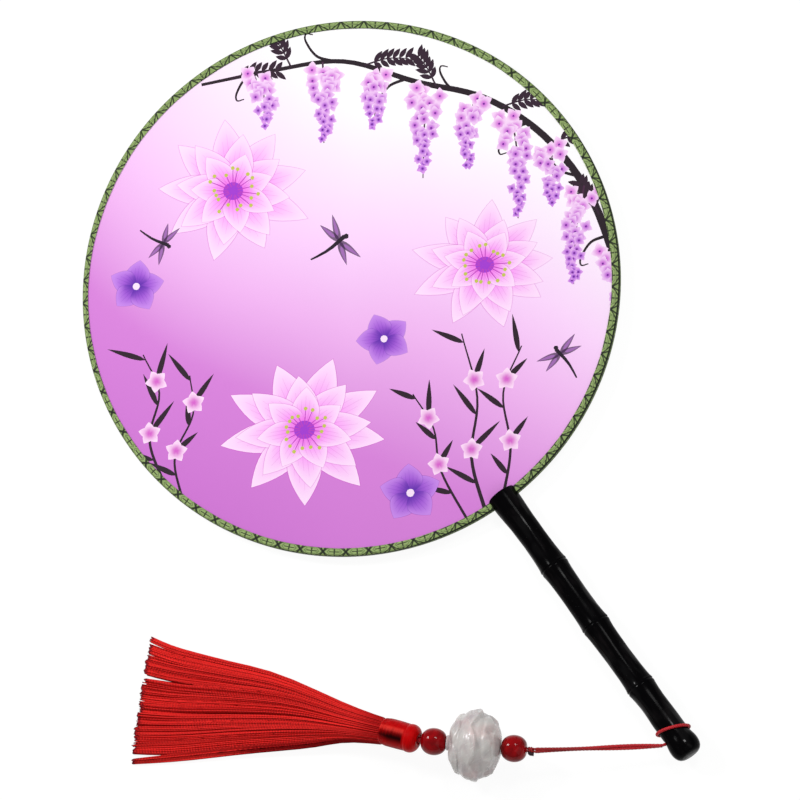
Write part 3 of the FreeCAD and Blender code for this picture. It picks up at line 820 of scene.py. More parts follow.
class Bench:
    """Modelling by hand with Blender's operators, one object at a time."""

    @staticmethod
    def rest() -> None:
        """Leave edit mode and deselect everything."""
        if bpy.context.object and bpy.context.object.mode != "OBJECT":
            bpy.ops.object.mode_set(mode="OBJECT")
        bpy.ops.object.select_all(action="DESELECT")

    @classmethod
    def take(cls, thing: Object) -> None:
        """Select one object alone and make it active.

        Args:
            thing: The object.
        """
        cls.rest()
        thing.select_set(True)
        bpy.context.view_layer.objects.active = thing

    @classmethod
    def lathe(
        cls,
        name: str,
        profile: Sequence[Pair],
        steps: int,
        sweep: float = math.tau,
        start: float = 0.0,
    ) -> Object:
        """Draw a profile vertex by vertex and spin it round the Z axis.

        Args:
            name: Name of the piece.
            profile: Corners as (radius, height), in millimetres; equal ends make a closed section.
            steps: Steps of the spin.
            sweep: Angle of the spin.
            start: Angle at which the profile stands.

        Returns:
            The turned piece, not yet in its place.
        """
        cls.rest()
        bpy.ops.mesh.primitive_plane_add(size=MM)
        piece = bpy.context.object
        piece.name = piece.data.name = name
        bpy.ops.object.mode_set(mode="EDIT")
        bpy.ops.mesh.select_mode(type="VERT")
        bpy.ops.mesh.select_all(action="SELECT")
        bpy.ops.mesh.merge(type="CENTER")
        here = Vector((0.0, 0.0, 0.0))
        for index, (radius, height) in enumerate(profile):
            there = around(start, radius, height) * MM
            if index == 0:
                bpy.ops.transform.translate(value=there - here)
            else:
                bpy.ops.mesh.extrude_vertices_move(TRANSFORM_OT_translate={"value": there - here})
            here = there
        bpy.ops.mesh.select_all(action="SELECT")
        bpy.ops.mesh.spin(steps=steps, angle=sweep, center=(0.0, 0.0, 0.0), axis=(0.0, 0.0, 1.0))
        bpy.ops.mesh.select_all(action="SELECT")
        bpy.ops.mesh.remove_doubles(threshold=0.002 * MM)
        bpy.ops.mesh.fill_holes(sides=0)
        bpy.ops.mesh.select_all(action="SELECT")
        bpy.ops.mesh.normals_make_consistent(inside=False)
        bpy.ops.object.mode_set(mode="OBJECT")
        return piece

    @classmethod
    def cut(cls, piece: Object, tool: Object) -> None:
        """Cut a piece with a tool, which is used up.

        Args:
            piece: Piece to cut.
            tool: What is taken out of it.
        """
        cls.take(piece)
        knife = piece.modifiers.new("cut", "BOOLEAN")
        knife.operation = "DIFFERENCE"
        knife.object = tool
        knife.solver = "EXACT"
        bpy.ops.object.modifier_apply(modifier=knife.name)
        bpy.data.objects.remove(tool, do_unlink=True)

    @classmethod
    def settle(cls, piece: Object, place: Matrix, angle: float = 40.0) -> None:
        """Put a piece in its place, with the place in its mesh, and shade it smooth up to an angle.

        Args:
            piece: Piece, modelled at the origin.
            place: Its frame.
            angle: Largest angle that is shaded smooth, in degrees.
        """
        cls.take(piece)
        piece.matrix_world = place
        bpy.ops.object.transform_apply(location=True, rotation=True, scale=True)
        bpy.ops.object.shade_smooth_by_angle(angle=math.radians(angle))

    @classmethod
    def join(cls, name: str, pieces: Sequence[Object]) -> Object:
        """Join several meshes into one piece.

        Args:
            name: Name of the piece.
            pieces: Meshes to join.

        Returns:
            The joined piece.
        """
        cls.take(pieces[0])
        for other in pieces[1:]:
            other.select_set(True)
        bpy.ops.object.join()
        joined = bpy.context.object
        joined.name = joined.data.name = name
        return joined

    @classmethod
    def from_data(
        cls, name: str, points: Sequence[Vector], faces: Sequence[Sequence[int]]
    ) -> Object:
        """Make a piece from points and faces.

        Args:
            name: Name of the piece.
            points: Its points, in metres.
            faces: Numbers of their points.

        Returns:
            The piece.
        """
        cls.rest()
        mesh = bpy.data.meshes.new(name)
        mesh.from_pydata([tuple(point) for point in points], [], [tuple(face) for face in faces])
        mesh.update()
        piece = bpy.data.objects.new(name, mesh)
        bpy.context.scene.collection.objects.link(piece)
        return piece

    @staticmethod
    def wrap(
        piece: Object, spot: Callable[[Vector], Pair], period: float | None = None
    ) -> None:
        """Give a piece a UV map from the place of each corner.

        Args:
            piece: The piece.
            spot: UV of a point.
            period: Length after which U starts again, so that no face is smeared over the seam.
        """
        mesh = piece.data
        layer = mesh.uv_layers.get(WRAPPED) or mesh.uv_layers.new(name=WRAPPED)
        spots = [spot(vertex.co) for vertex in mesh.vertices]
        for face in mesh.polygons:
            first = spots[mesh.loops[face.loop_start].vertex_index][0]
            for loop in face.loop_indices:
                u, v = spots[mesh.loops[loop].vertex_index]
                if period:
                    u -= period * round((u - first) / period)
                layer.data[loop].uv = (u, v)


class Thread:
    """Cords swept along smooth lines."""

    ply_length: float = 3.4 * MM
    ply_depth: float = 0.13

    @staticmethod
    def line(points: Sequence[Vector], closed: bool = False, samples: int = 16) -> list[Vector]:
        """Points along the NURBS spline of a route.

        Args:
            points: The route's points, in metres.
            closed: Whether it runs back to its start.
            samples: Points for each of the route's points.

        Returns:
            Points on the smooth line.
        """
        curve = bpy.data.curves.new("route", "CURVE")
        curve.dimensions = "3D"
        curve.resolution_u = samples
        spline = curve.splines.new("NURBS")
        spline.points.add(len(points) - 1)
        for knot, point in zip(spline.points, points):
            knot.co = (*point, 1.0)
        spline.order_u = 3
        spline.use_cyclic_u = closed
        spline.use_endpoint_u = not closed
        holder = bpy.data.objects.new("route", curve)
        bpy.context.scene.collection.objects.link(holder)
        mesh = bpy.data.meshes.new_from_object(holder.evaluated_get(bpy.context.evaluated_depsgraph_get()))
        found = [vertex.co.copy() for vertex in mesh.vertices]
        bpy.data.objects.remove(holder, do_unlink=True)
        bpy.data.curves.remove(curve)
        bpy.data.meshes.remove(mesh)
        return found

    @classmethod
    def cord(
        cls, name: str, line: Sequence[Vector], radius: float, closed: bool = False, sides: int = 12
    ) -> Object:
        """Sweep a cord of two twisted plies along a line.

        Args:
            name: Name of the piece.
            line: Points along its middle, in metres.
            radius: Outer radius, in metres.
            closed: Whether the line runs back to its start.
            sides: Corners of its section.

        Returns:
            The cord, with a UV map of metres along and turns around.
        """
        count = len(line)
        points: list[Vector] = []
        side = None
        run = [0.0]
        for index, here in enumerate(line):
            before = line[index - 1] if index or closed else here
            after = line[(index + 1) % count] if index < count - 1 or closed else here
            way = (after - before).normalized()
            if side is None:
                side = way.orthogonal().normalized()
            side = (side - way * side.dot(way)).normalized()
            third = way.cross(side)
            twist = run[-1] / cls.ply_length * math.tau
            for corner in range(sides):
                angle = corner / sides * math.tau
                ply = 1.0 - cls.ply_depth * (0.5 - 0.5 * math.cos(2.0 * (angle - twist)))
                points.append(here + (side * math.cos(angle) + third * math.sin(angle)) * (radius * ply))
            run.append(run[-1] + (after - here).length)
        faces: list[Sequence[int]] = []
        rings = count if closed else count - 1
        for ring in range(rings):
            near, next_one = ring * sides, (ring + 1) % count * sides
            for corner in range(sides):
                far = (corner + 1) % sides
                faces.append((near + corner, near + far, next_one + far, next_one + corner))
        if not closed:
            faces.append(tuple(reversed(range(sides))))
            faces.append(tuple(range((count - 1) * sides, count * sides)))
        piece = Bench.from_data(name, points, faces)
        layer = piece.data.uv_layers.new(name=WRAPPED)
        for number, face in enumerate(piece.data.polygons):
            ring, corner = divmod(number, sides)
            if len(face.loop_indices) == 4:
                turns = (corner, corner + 1, corner + 1, corner)
                runs = (run[ring], run[ring], run[ring + 1], run[ring + 1])
                for loop, turn, length in zip(face.loop_indices, turns, runs):
                    layer.data[loop].uv = (length, turn / sides)
        Bench.take(piece)
        bpy.ops.object.shade_smooth()
        return piece


def hand_over(
    piece: Object, finish: Material, body: str, slot: str, *nodes: str
) -> None:
    """Dress a piece and let it ride on a body in place of solids.

    Args:
        piece: The piece, in its place.
        finish: Its only material.
        body: Body it moves with.
        slot: Name of a material slot; not used.
        nodes: Solids that it stands for.
    """
    piece.data.materials.clear()
    piece.data.materials.append(finish)
    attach(piece, body)
    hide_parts(*nodes)
    LOG.info("%s: %d faces, on %s", piece.name, len(piece.data.polygons), body)


@dataclass(frozen=True)
class Inks:
    """Colours of the print; a petal's run from its root over its middle to its tip, and then its veins."""

    bark: Colour = dye(30, 12, 26)
    frond: Colour = dye(46, 20, 42)
    reed: Colour = dye(38, 16, 34)
    bud: tuple[Colour, ...] = (dye(216, 96, 204), dye(255, 222, 250))
    lily: tuple[Colour, ...] = (dye(240, 104, 232), dye(250, 158, 247), dye(255, 226, 253), dye(206, 70, 196))
    lily_eye: Colour = dye(150, 44, 206)
    stamen: Colour = dye(190, 60, 190)
    pollen: Colour = dye(196, 200, 84)
    bell: tuple[Colour, ...] = (dye(88, 30, 168), dye(160, 82, 214), dye(202, 138, 236), dye(104, 40, 176))
    bell_eye: Colour = dye(250, 226, 250)
    stalk: Colour = dye(70, 30, 64)
    spray_deep: tuple[Colour, ...] = (dye(228, 120, 222), dye(142, 66, 206))
    spray_pale: tuple[Colour, ...] = (dye(255, 226, 252), dye(222, 150, 236))
    spray_eye: Colour = dye(112, 30, 150)
    body: Colour = dye(30, 12, 34)
    wing: Colour = dye(64, 26, 78)
    glint: Colour = dye(170, 110, 190)
    ground: tuple[tuple[float, Colour], ...] = (
        (-1.2, dye(255, 255, 255)),
        (-0.62, dye(255, 252, 255)),
        (-0.12, dye(252, 214, 253)),
        (0.2, dye(240, 180, 240)),
        (0.55, dye(214, 128, 217)),
        (1.3, dye(203, 110, 208)),
    )


INK = Inks()


@dataclass
class Patch:
    """One flat shape of the print and the stain it leaves at a point."""

    outline: list[Vector]
    stain: Callable[[Vector], Stain]


@dataclass
class FlowerPrint:
    """Generic garden print: water lilies, hanging blossom, bellflowers, reeds and dragonflies.

    It is drawn upright, in millimetres from the middle of the face. Motifs are tables of their places,
    sizes and turns, and what grows on the vine has a share of its length.
    """

    radius: float = 124.0
    seed: int = 5
    rim_points: int = 360
    grid: Pair = (5.0, 4.4)
    grid_reach: tuple[int, int] = (25, 28)
    margin: float = 2.0
    merge: float = 1e-3
    reeds: tuple[tuple[float, Table], ...] = (
        (1.9, ((66, -108), (58, -80), (60, -52), (52, -22))),
        (1.5, ((72, -104), (76, -76), (72, -50), (80, -28))),
        (1.3, ((58, -111), (44, -86), (40, -66), (30, -50))),
        (1.5, ((-84, -92), (-92, -70), (-88, -48), (-96, -30))),
        (1.2, ((-76, -98), (-80, -78), (-72, -58), (-74, -40))),
    )
    lilies: tuple[tuple[Pair, float, float, float], ...] = (
        ((-56, 46), 36.0, 0.3, 0.9), ((62, 10), 34.0, 0.1, 0.86), ((-20, -66), 38.0, 0.55, 0.88),
    )
    lily_rows: tuple[tuple[int, float, float, float], ...] = (
        (9, 1.0, 0.215, 0.0), (8, 0.8, 0.2, 0.35), (7, 0.58, 0.17, 0.1),
    )
    stamens: int = 18
    bells: tuple[tuple[Pair, float, float], ...] = (
        ((-100, 2), 13.0, 0.2), ((16, -24), 13.0, 0.7), ((30, -96), 14.5, 0.4),
    )
    eye_size: float = 0.13
    vine: Table = (
        (124, 8), (110, 42), (88, 70), (60, 88), (28, 96), (-6, 106), (-40, 102), (-72, 96),
    )
    vine_width: Pair = (4.0, 1.4)
    twigs: tuple[tuple[float, int], ...] = (
        (0.08, -1), (0.2, 1), (0.34, -1), (0.47, 1), (0.6, -1), (0.74, 1), (0.88, -1),
    )
    fronds: tuple[tuple[float, int], ...] = (
        (0.12, 1), (0.28, -1), (0.4, -1), (0.55, 1), (0.68, -1), (0.82, 1), (0.94, -1),
    )
    sprays: Table = (
        (0.06, 32.0), (0.17, 46.0), (0.28, 30.0), (0.37, 50.0), (0.46, 34.0), (0.56, 44.0), (0.66, 28.0),
        (0.77, 38.0), (0.88, 26.0),
    )
    flies: tuple[tuple[Pair, float, float], ...] = (
        ((-6, 22), 13.0, 0.6), ((98, -32), 11.5, 2.2), ((-88, 22), 10.5, -0.5),
    )
    wings: Table = ((1.25, 1.0), (1.85, 0.92), (-1.25, 1.0), (-1.85, 0.92))
    veins: tuple[float, ...] = (0.12, 0.35, 0.6, 0.8, 1.0)
    patches: list[Patch] = field(default_factory=list)
    loose: list[Vector] = field(default_factory=list)

    def __post_init__(self) -> None:
        """Draw every motif, from the back to the front."""
        self.dice = random.Random(self.seed)
        for width, points in self.reeds:
            self.reed([Vector(point) for point in points], width)
        for at, size, turn, squash in self.lilies:
            self.lily(Vector(at), size, turn, squash)
        for at, size, turn in self.bells:
            self.bellflower(Vector(at), size, turn)
        vine = self.smooth([Vector(point) for point in self.vine])
        self.stroke(vine, *self.vine_width, INK.bark)
        for share, side in self.twigs:
            self.tendril(self.point_on(vine, share), side)
        for share, side in self.fronds:
            self.frond(self.point_on(vine, share), side)
        for share, length in self.sprays:
            self.raceme(self.point_on(vine, share), length)
        for at, size, turn in self.flies:
            self.dragonfly(Vector(at), size, turn)

    @staticmethod
    def smooth(points: Sequence[Vector], pieces: int = 7) -> list[Vector]:
        """Round a line through its points.

        Args:
            points: Points of the line.
            pieces: Steps from one point to the next.

        Returns:
            Points of the rounded line.
        """
        ends = [points[0] * 2 - points[1], *points, points[-1] * 2 - points[-2]]
        found = []
        for four in zip(ends, ends[1:], ends[2:], ends[3:]):
            found += [through(four, number / pieces) for number in range(pieces)]
        return [*found, points[-1].copy()]

    @staticmethod
    def point_on(line: Sequence[Vector], share: float) -> Vector:
        """Point at a share of a rounded line."""
        return line[int(share * (len(line) - 1))].copy()

    @staticmethod
    def leaf(length: float, width: float, fullness: float = 0.85, count: int = 11) -> list[Vector]:
        """Outline of a petal or leaf from its root at the origin along X.

        Args:
            length: From its root to its tip.
            width: Half of its width.
            fullness: The smaller it is, the nearer to the root lies the widest place.
            count: Steps along it.

        Returns:
            The outline.
        """
        shares = [number / count for number in range(1, count)]
        left = [Vector((length * t, width * math.sin(math.pi * t**fullness) ** 0.9)) for t in shares]
        right = [Vector((p.x, -p.y)) for p in left]
        return [Vector((0.0, 0.0)), *right, Vector((length, 0.0)), *reversed(left)]

    @staticmethod
    def disc(corners: int, step: float) -> list[Vector]:
        """Outline of a dot of radius 1, with corners a step of its angle apart."""
        return [Vector((math.cos(k * step), math.sin(k * step))) for k in range(corners)]

    @staticmethod
    def set_at(outline: Sequence[Vector], at: Vector, turn: float, squash: float = 1.0) -> list[Vector]:
        """Turn an outline, flatten it in height and move it."""
        c, s = math.cos(turn), math.sin(turn)
        return [Vector((p.x * c - p.y * s, (p.x * s + p.y * c) * squash)) + at for p in outline]

    def lay(self, outline: list[Vector], colour: Colour, cover: float = 1.0) -> None:
        """Add a patch of one colour."""
        self.patches.append(Patch(outline, lambda point: (*colour, cover)))

    def stroke(
        self, line: Sequence[Vector], first: float, last: float, colour: Colour, cover: float = 1.0
    ) -> None:
        """Draw a tapered stroke along a line.

        Args:
            line: Points along its middle.
            first: Width at its start.
            last: Width at its end.
            colour: Colour of its ink.
            cover: Share of the ground that it hides.
        """
        left, right = [], []
        for index, here in enumerate(line):
            way = way_at(line, index)
            half = (first + (last - first) * index / (len(line) - 1)) / 2
            side = Vector((-way.y, way.x)) * half
            left.append(here + side)
            right.append(here - side)
        self.lay(right + left[::-1], colour, cover)

    def petal(
        self, at: Vector, length: float, width: float, turn: float, squash: float, tones: Sequence[Colour]
    ) -> None:
        """Draw one shaded petal with veins.

        Args:
            at: Its root.
            length: From its root to its tip.
            width: Half of its width.
            turn: Angle that it points to.
            squash: Flattening of the flower in height.
            tones: Colours of its root, its middle, its tip and its veins.
        """
        root, middle, tip, vein = tones
        outline = self.leaf(length, width)
        axis = Vector((math.cos(turn), math.sin(turn)))

        def stain(point: Vector) -> Stain:
            """Colour of the petal at a point.

            Args:
                point: The point.

            Returns:
                Its colour and cover.
            """
            local = Vector((point.x - at.x, (point.y - at.y) / squash))
            run = local.dot(axis) / length
            off = abs(local.x * axis.y - local.y * axis.x) / width
            colour = blend(root, middle, ease(0.0, 0.55, run))
            colour = blend(colour, tip, ease(0.35, 1.05, run + 0.35 * off * off))
            return (*colour, 1.0)

        rim = [Vector((p.x * 1.012, p.y * 1.045)) for p in outline]
        self.lay(self.set_at(rim, at, turn, squash), vein, 0.45)
        self.patches.append(Patch(self.set_at(outline, at, turn, squash), stain))
        for share in (0.82, 0.6, 0.35):
            inner = [Vector((length * 0.5, 0.0)).lerp(p, share) for p in outline]
            self.loose += self.set_at(inner, at, turn, squash)
        for number in (-2, -1, 0, 1, 2):
            reach = length * (0.8 - 0.1 * abs(number))
            bow = number * width * 0.3
            line = [Vector((reach * t, bow * math.sin(math.pi * 0.55 * t))) for t in self.veins]
            self.stroke(self.set_at(line, at, turn, squash), 0.34, 0.12, vein, 0.35)

    def blossom(
        self,
        at: Vector,
        size: float,
        shape: Sequence[Vector],
        turns: Sequence[float],
        tones: Sequence[Colour],
    ) -> None:
        """Draw a small flower from the shape of one petal.

        Args:
            at: Its middle.
            size: Length of its petals.
            shape: Outline of one petal.
            turns: Angles of its petals.
            tones: Colours of its middle and its edge.
        """

        def stain(point: Vector) -> Stain:
            """Colour of the flower at a point."""
            return (*blend(*tones, ease(0.1, 0.8, (point - at).length / size)), 1.0)

        for turn in turns:
            self.patches.append(Patch(self.set_at(shape, at, turn), stain))

    def lily(self, at: Vector, size: float, turn: float, squash: float) -> None:
        """Draw a many-petalled water lily.

        Args:
            at: Its middle.
            size: Length of its outer petals.
            turn: Angle of its first petal.
            squash: Flattening in height.
        """
        for count, reach, wide, shift in self.lily_rows:
            for number in range(count):
                angle = turn + shift + number / count * math.tau
                length = size * reach * self.dice.uniform(0.92, 1.06)
                self.petal(at, length, size * wide, angle, squash, INK.lily)
        eye = [p * size * self.eye_size for p in self.disc(14, 0.45)]
        self.lay(self.set_at(eye, at, 0.0, squash), INK.lily_eye, 0.9)
        for number in range(self.stamens):
            angle = turn + number / self.stamens * math.tau + self.dice.uniform(-0.1, 0.1)
            reach = size * self.dice.uniform(0.2, 0.34)
            tip = at + Vector((math.cos(angle) * reach, math.sin(angle) * reach * squash))
            self.stroke([at.lerp(tip, 0.25), at.lerp(tip, 0.6), tip], 0.5, 0.3, INK.stamen)
            self.lay([tip + p * 0.95 for p in self.disc(6, 1.0)], INK.pollen)

    def bellflower(self, at: Vector, size: float, turn: float) -> None:
        """Draw a violet flower of five broad petals.

        Args:
            at: Its middle.
            size: Length of its petals.
            turn: Angle of its first petal.
        """
        for number in range(5):
            angle = turn + number / 5 * math.tau
            self.petal(at, size, size * 0.42, angle, 0.94, INK.bell)
        self.lay([at + p * size * self.eye_size for p in self.disc(10, 0.6)], INK.bell_eye)

    def tendril(self, at: Vector, side: int) -> None:
        """Draw a side twig that curls back at its end.

        Args:
            at: Point on the vine.
            side: 1 for a rising twig and -1 for a falling one.
        """
        reach = self.dice.uniform(12.0, 18.0)
        way = Vector((-0.8, -0.6 if side < 0 else 0.5)).normalized()
        across = Vector((-way.y, way.x)) * side
        line = [at, at + way * reach * 0.5 + across * 2.0, at + way * reach - across * 1.0]
        line += [at + way * (reach + 2.0) - across * 4.0, at + way * (reach - 1.0) - across * 5.5]
        self.stroke(self.smooth(line), 1.5, 0.5, INK.bark)

    def frond(self, at: Vector, side: int) -> None:
        """Draw a dark feathered leaf on the vine.

        Args:
            at: Point on the vine.
            side: 1 for a leaf to the left and -1 to the right.
        """
        way = Vector((-0.35 * side, 0.3 + 0.25 * side)).normalized()
        length = self.dice.uniform(17.0, 23.0)
        line = self.smooth([at, at + way * length * 0.5 + Vector((0, 1.5)), at + way * length])
        self.stroke(line, 0.9, 0.4, INK.frond)
        for number in range(3, len(line) - 1, 2):
            for turn in (0.8, -0.8):
                angle = math.atan2(way.y, way.x) + turn
                shape = self.leaf(self.dice.uniform(5.0, 7.0), 1.2, 0.9, 6)
                self.lay(self.set_at(shape, line[number], angle), INK.frond)

    def raceme(self, at: Vector, length: float) -> None:
        """Draw a hanging spray of small blossoms.

        Args:
            at: Point on the vine.
            length: How far it hangs.
        """
        sway = self.dice.uniform(-5.0, 5.0)
        foot = at + Vector((sway, -length))
        line = self.smooth([at, at.lerp(foot, 0.5) + Vector((sway * 0.4, 0.0)), foot])
        self.stroke(line, 0.9, 0.5, INK.stalk)
        count = int(length * 0.9)
        for number in range(count):
            t = 0.12 + 0.88 * number / count
            spread = 7.5 * (1.05 - t) + 0.8
            aside = Vector((self.dice.uniform(-1, 1) * spread, self.dice.uniform(-1.5, 1.5)))
            spot = self.point_on(line, t) + aside
            size = 4.6 - 2.6 * t
            angle = self.dice.uniform(0.0, math.tau)
            turns = [angle + step * 1.57 for step in range(4)]
            tones = (blend(*INK.spray_deep, t), blend(*INK.spray_pale, t))
            self.blossom(spot, size, self.leaf(size, size * 0.42, 0.75, 6), turns, tones)
            self.lay([spot + p * 0.55 for p in self.disc(5, 1.2)], INK.spray_eye)

    def reed(self, points: Sequence[Vector], width: float) -> None:
        """Draw a dark reed with slender leaves and a few buds.

        Args:
            points: Points of its stem, from the foot.
            width: Width at its foot.
        """
        line = self.smooth(points)
        self.stroke(line, width, 0.6, INK.reed)
        size = 5.4
        bud = self.leaf(size, 2.2, 0.75, 7)
        for number in range(4, len(line), 4):
            side = 1 if (number // 4) % 2 else -1
            way = line[number] - line[number - 1]
            angle = math.atan2(way.y, way.x) + side * self.dice.uniform(0.5, 0.9)
            shape = self.leaf(self.dice.uniform(12.0, 19.0), 1.3, 0.7, 8)
            self.lay(self.set_at(shape, line[number], angle), INK.reed)
            if number % 8 == 0:
                turns = [angle + 2.0 + step * 1.256 for step in range(5)]
                self.blossom(line[number], size, bud, turns, INK.bud)

    def dragonfly(self, at: Vector, size: float, turn: float) -> None:
        """Draw a dark dragonfly.

        Args:
            at: Its middle.
            size: Length of its longest wing.
            turn: Angle that it heads for.
        """
        for angle, reach in self.wings:
            shape = self.leaf(size * reach, size * 0.12, 0.62, 9)
            self.lay(self.set_at(shape, at, turn + angle), INK.wing, 0.86)
            inner = [Vector((p.x * 0.7 + size * 0.2, p.y * 0.5)) for p in shape]
            self.lay(self.set_at(inner, at, turn + angle), INK.glint, 0.8)
        runs = (0.25, 0.05, -0.3, -0.6, -0.95, -1.2)
        tail = [Vector((x * size, 0.05 * size * math.sin(x * 3.0))) for x in runs]
        self.stroke(self.set_at(tail, at, turn), size * 0.17, size * 0.06, INK.body)
        head = [Vector((size * 0.3 + math.cos(k) * size * 0.1, math.sin(k) * size * 0.1)) for k in range(6)]
        self.lay(self.set_at(head, at, turn), INK.body)

    def ground(self, point: Vector) -> Colour:
        """Colour of the bare silk: white above and to the right, orchid below and to the left.

        Args:
            point: The point.

        Returns:
            The colour there.
        """
        slope = -(0.3 * max(point.x, 0.0) + 0.66 * min(point.x, 0.0) + 0.893 * point.y) / self.radius
        slope += 0.12 * math.sin(point.x / 41.0 + 0.6) * math.cos(point.y / 53.0)
        for (low, first), (high, last) in zip(INK.ground, INK.ground[1:]):
            if slope <= high:
                return blend(first, last, (slope - low) / (high - low))
        return INK.ground[-1][1]

    def triangles(self) -> tuple[list[Vector], list[list[int]], list[list[Colour]]]:
        """Divide the face along every outline.

        Returns:
            Points in millimetres, triangles, and the colours of each triangle's corners.
        """
        turns = [k * math.tau / self.rim_points for k in range(self.rim_points)]
        points = [Vector((math.cos(turn), math.sin(turn))) * self.radius for turn in turns]
        faces = [list(range(self.rim_points))]
        for patch in self.patches:
            ring = patch.outline
            area = sum(a.x * b.y - b.x * a.y for a, b in zip(ring, ring[1:] + ring[:1]))
            faces.append(list(range(len(points), len(points) + len(ring))))
            points += ring if area > 0 else ring[::-1]
        wide, high = self.grid
        columns, rows = (range(-reach, reach + 1) for reach in self.grid_reach)
        grid = [Vector((x * wide + (y % 2) * wide / 2, y * high)) for x in columns for y in rows]
        points += [p for p in grid + self.loose if p.length < self.radius - self.margin]
        spots, _, cells, _, _, sources = geometry.delaunay_2d_cdt(points, [], faces, 1, self.merge, True)
        used, kept, colours = {}, [], []
        for cell, source in zip(cells, sources):
            if 0 not in source:
                continue
            kept.append([used.setdefault(index, len(used)) for index in cell])
            colours.append([self.colour_at(spots[index], sorted(source)[1:]) for index in cell])
        return [spots[index] for index in used], kept, colours

    def colour_at(self, point: Vector, layers: Sequence[int]) -> Colour:
        """Colour of the print at a point, with its layers laid over the ground.

        Args:
            point: The point.
            layers: Numbers of the patches over it, counted from 1.

        Returns:
            The colour there.
        """
        colour = self.ground(point)
        for layer in layers:
            stain = self.patches[layer - 1].stain(point)
            colour = blend(colour, stain[:3], stain[3])
        return colour


@dataclass
class Face:
    """The two printed silks, stretched over the hoop."""

    top: float = 1.46
    thick: float = 0.22
    radius: float = 123.9
    upright: Pair = (0.5961, 0.8029)
    finish: PrintedSilk = PrintedSilk()

    @classmethod
    def axes(cls) -> tuple[Vector, Vector]:
        """Right and up of the upright print, in the face's frame."""
        up = Vector(cls.upright)
        return Vector((up.y, -up.x)), up

    def build(self) -> None:
        """Make both silks from one print."""
        spots, cells, colours = FlowerPrint(radius=self.radius).triangles()
        for name, node, side in (("front_print", "front_silk", 1), ("back_print", "back_silk", -1)):
            silk = self.silk(name, spots, cells, colours, side)
            hand_over(silk, self.finish.material(name), "fan", name, node)
            across = 2.0 * self.radius * MM
            math.pi * across**2 / 4.0

    def silk(
        self,
        name: str,
        spots: Sequence[Vector],
        cells: Sequence[Sequence[int]],
        colours: Sequence[Sequence[Colour]],
        side: int,
    ) -> Object:
        """Make one silk, printed so that it reads the right way round from its own side.

        Args:
            name: Name of the piece.
            spots: Points of the print.
            cells: Triangles of the print.
            colours: Colours of the triangles' corners.
            side: 1 for the front and -1 for the back.

        Returns:
            The silk in its place.
        """
        right, up = self.axes()
        place = PLACE.fan()
        points = []
        for spot in spots:
            flat = right * spot.x + up * spot.y
            points.append(place @ (Vector((flat.x * side, flat.y, self.top * side)) * MM))
        silk = Bench.from_data(name, points, [cell if side > 0 else cell[::-1] for cell in cells])
        layer = silk.data.color_attributes.new(PRINT, "FLOAT_COLOR", "CORNER")
        flat_colours = []
        for tones in colours:
            for tone in tones if side > 0 else tones[::-1]:
                flat_colours.extend((*tone, 1.0))
        layer.data.foreach_set("color", flat_colours)
        Bench.take(silk)
        bpy.ops.object.mode_set(mode="EDIT")
        bpy.ops.mesh.select_all(action="DESELECT")
        bpy.ops.mesh.select_mode(type="EDGE")
        bpy.ops.mesh.select_non_manifold()
        down = place.to_3x3() @ Vector((0.0, 0.0, -side * self.thick * MM))
        bpy.ops.mesh.extrude_edges_move(TRANSFORM_OT_translate={"value": down})
        bpy.ops.mesh.edge_face_add()
        bpy.ops.object.mode_set(mode="OBJECT")
        return silk


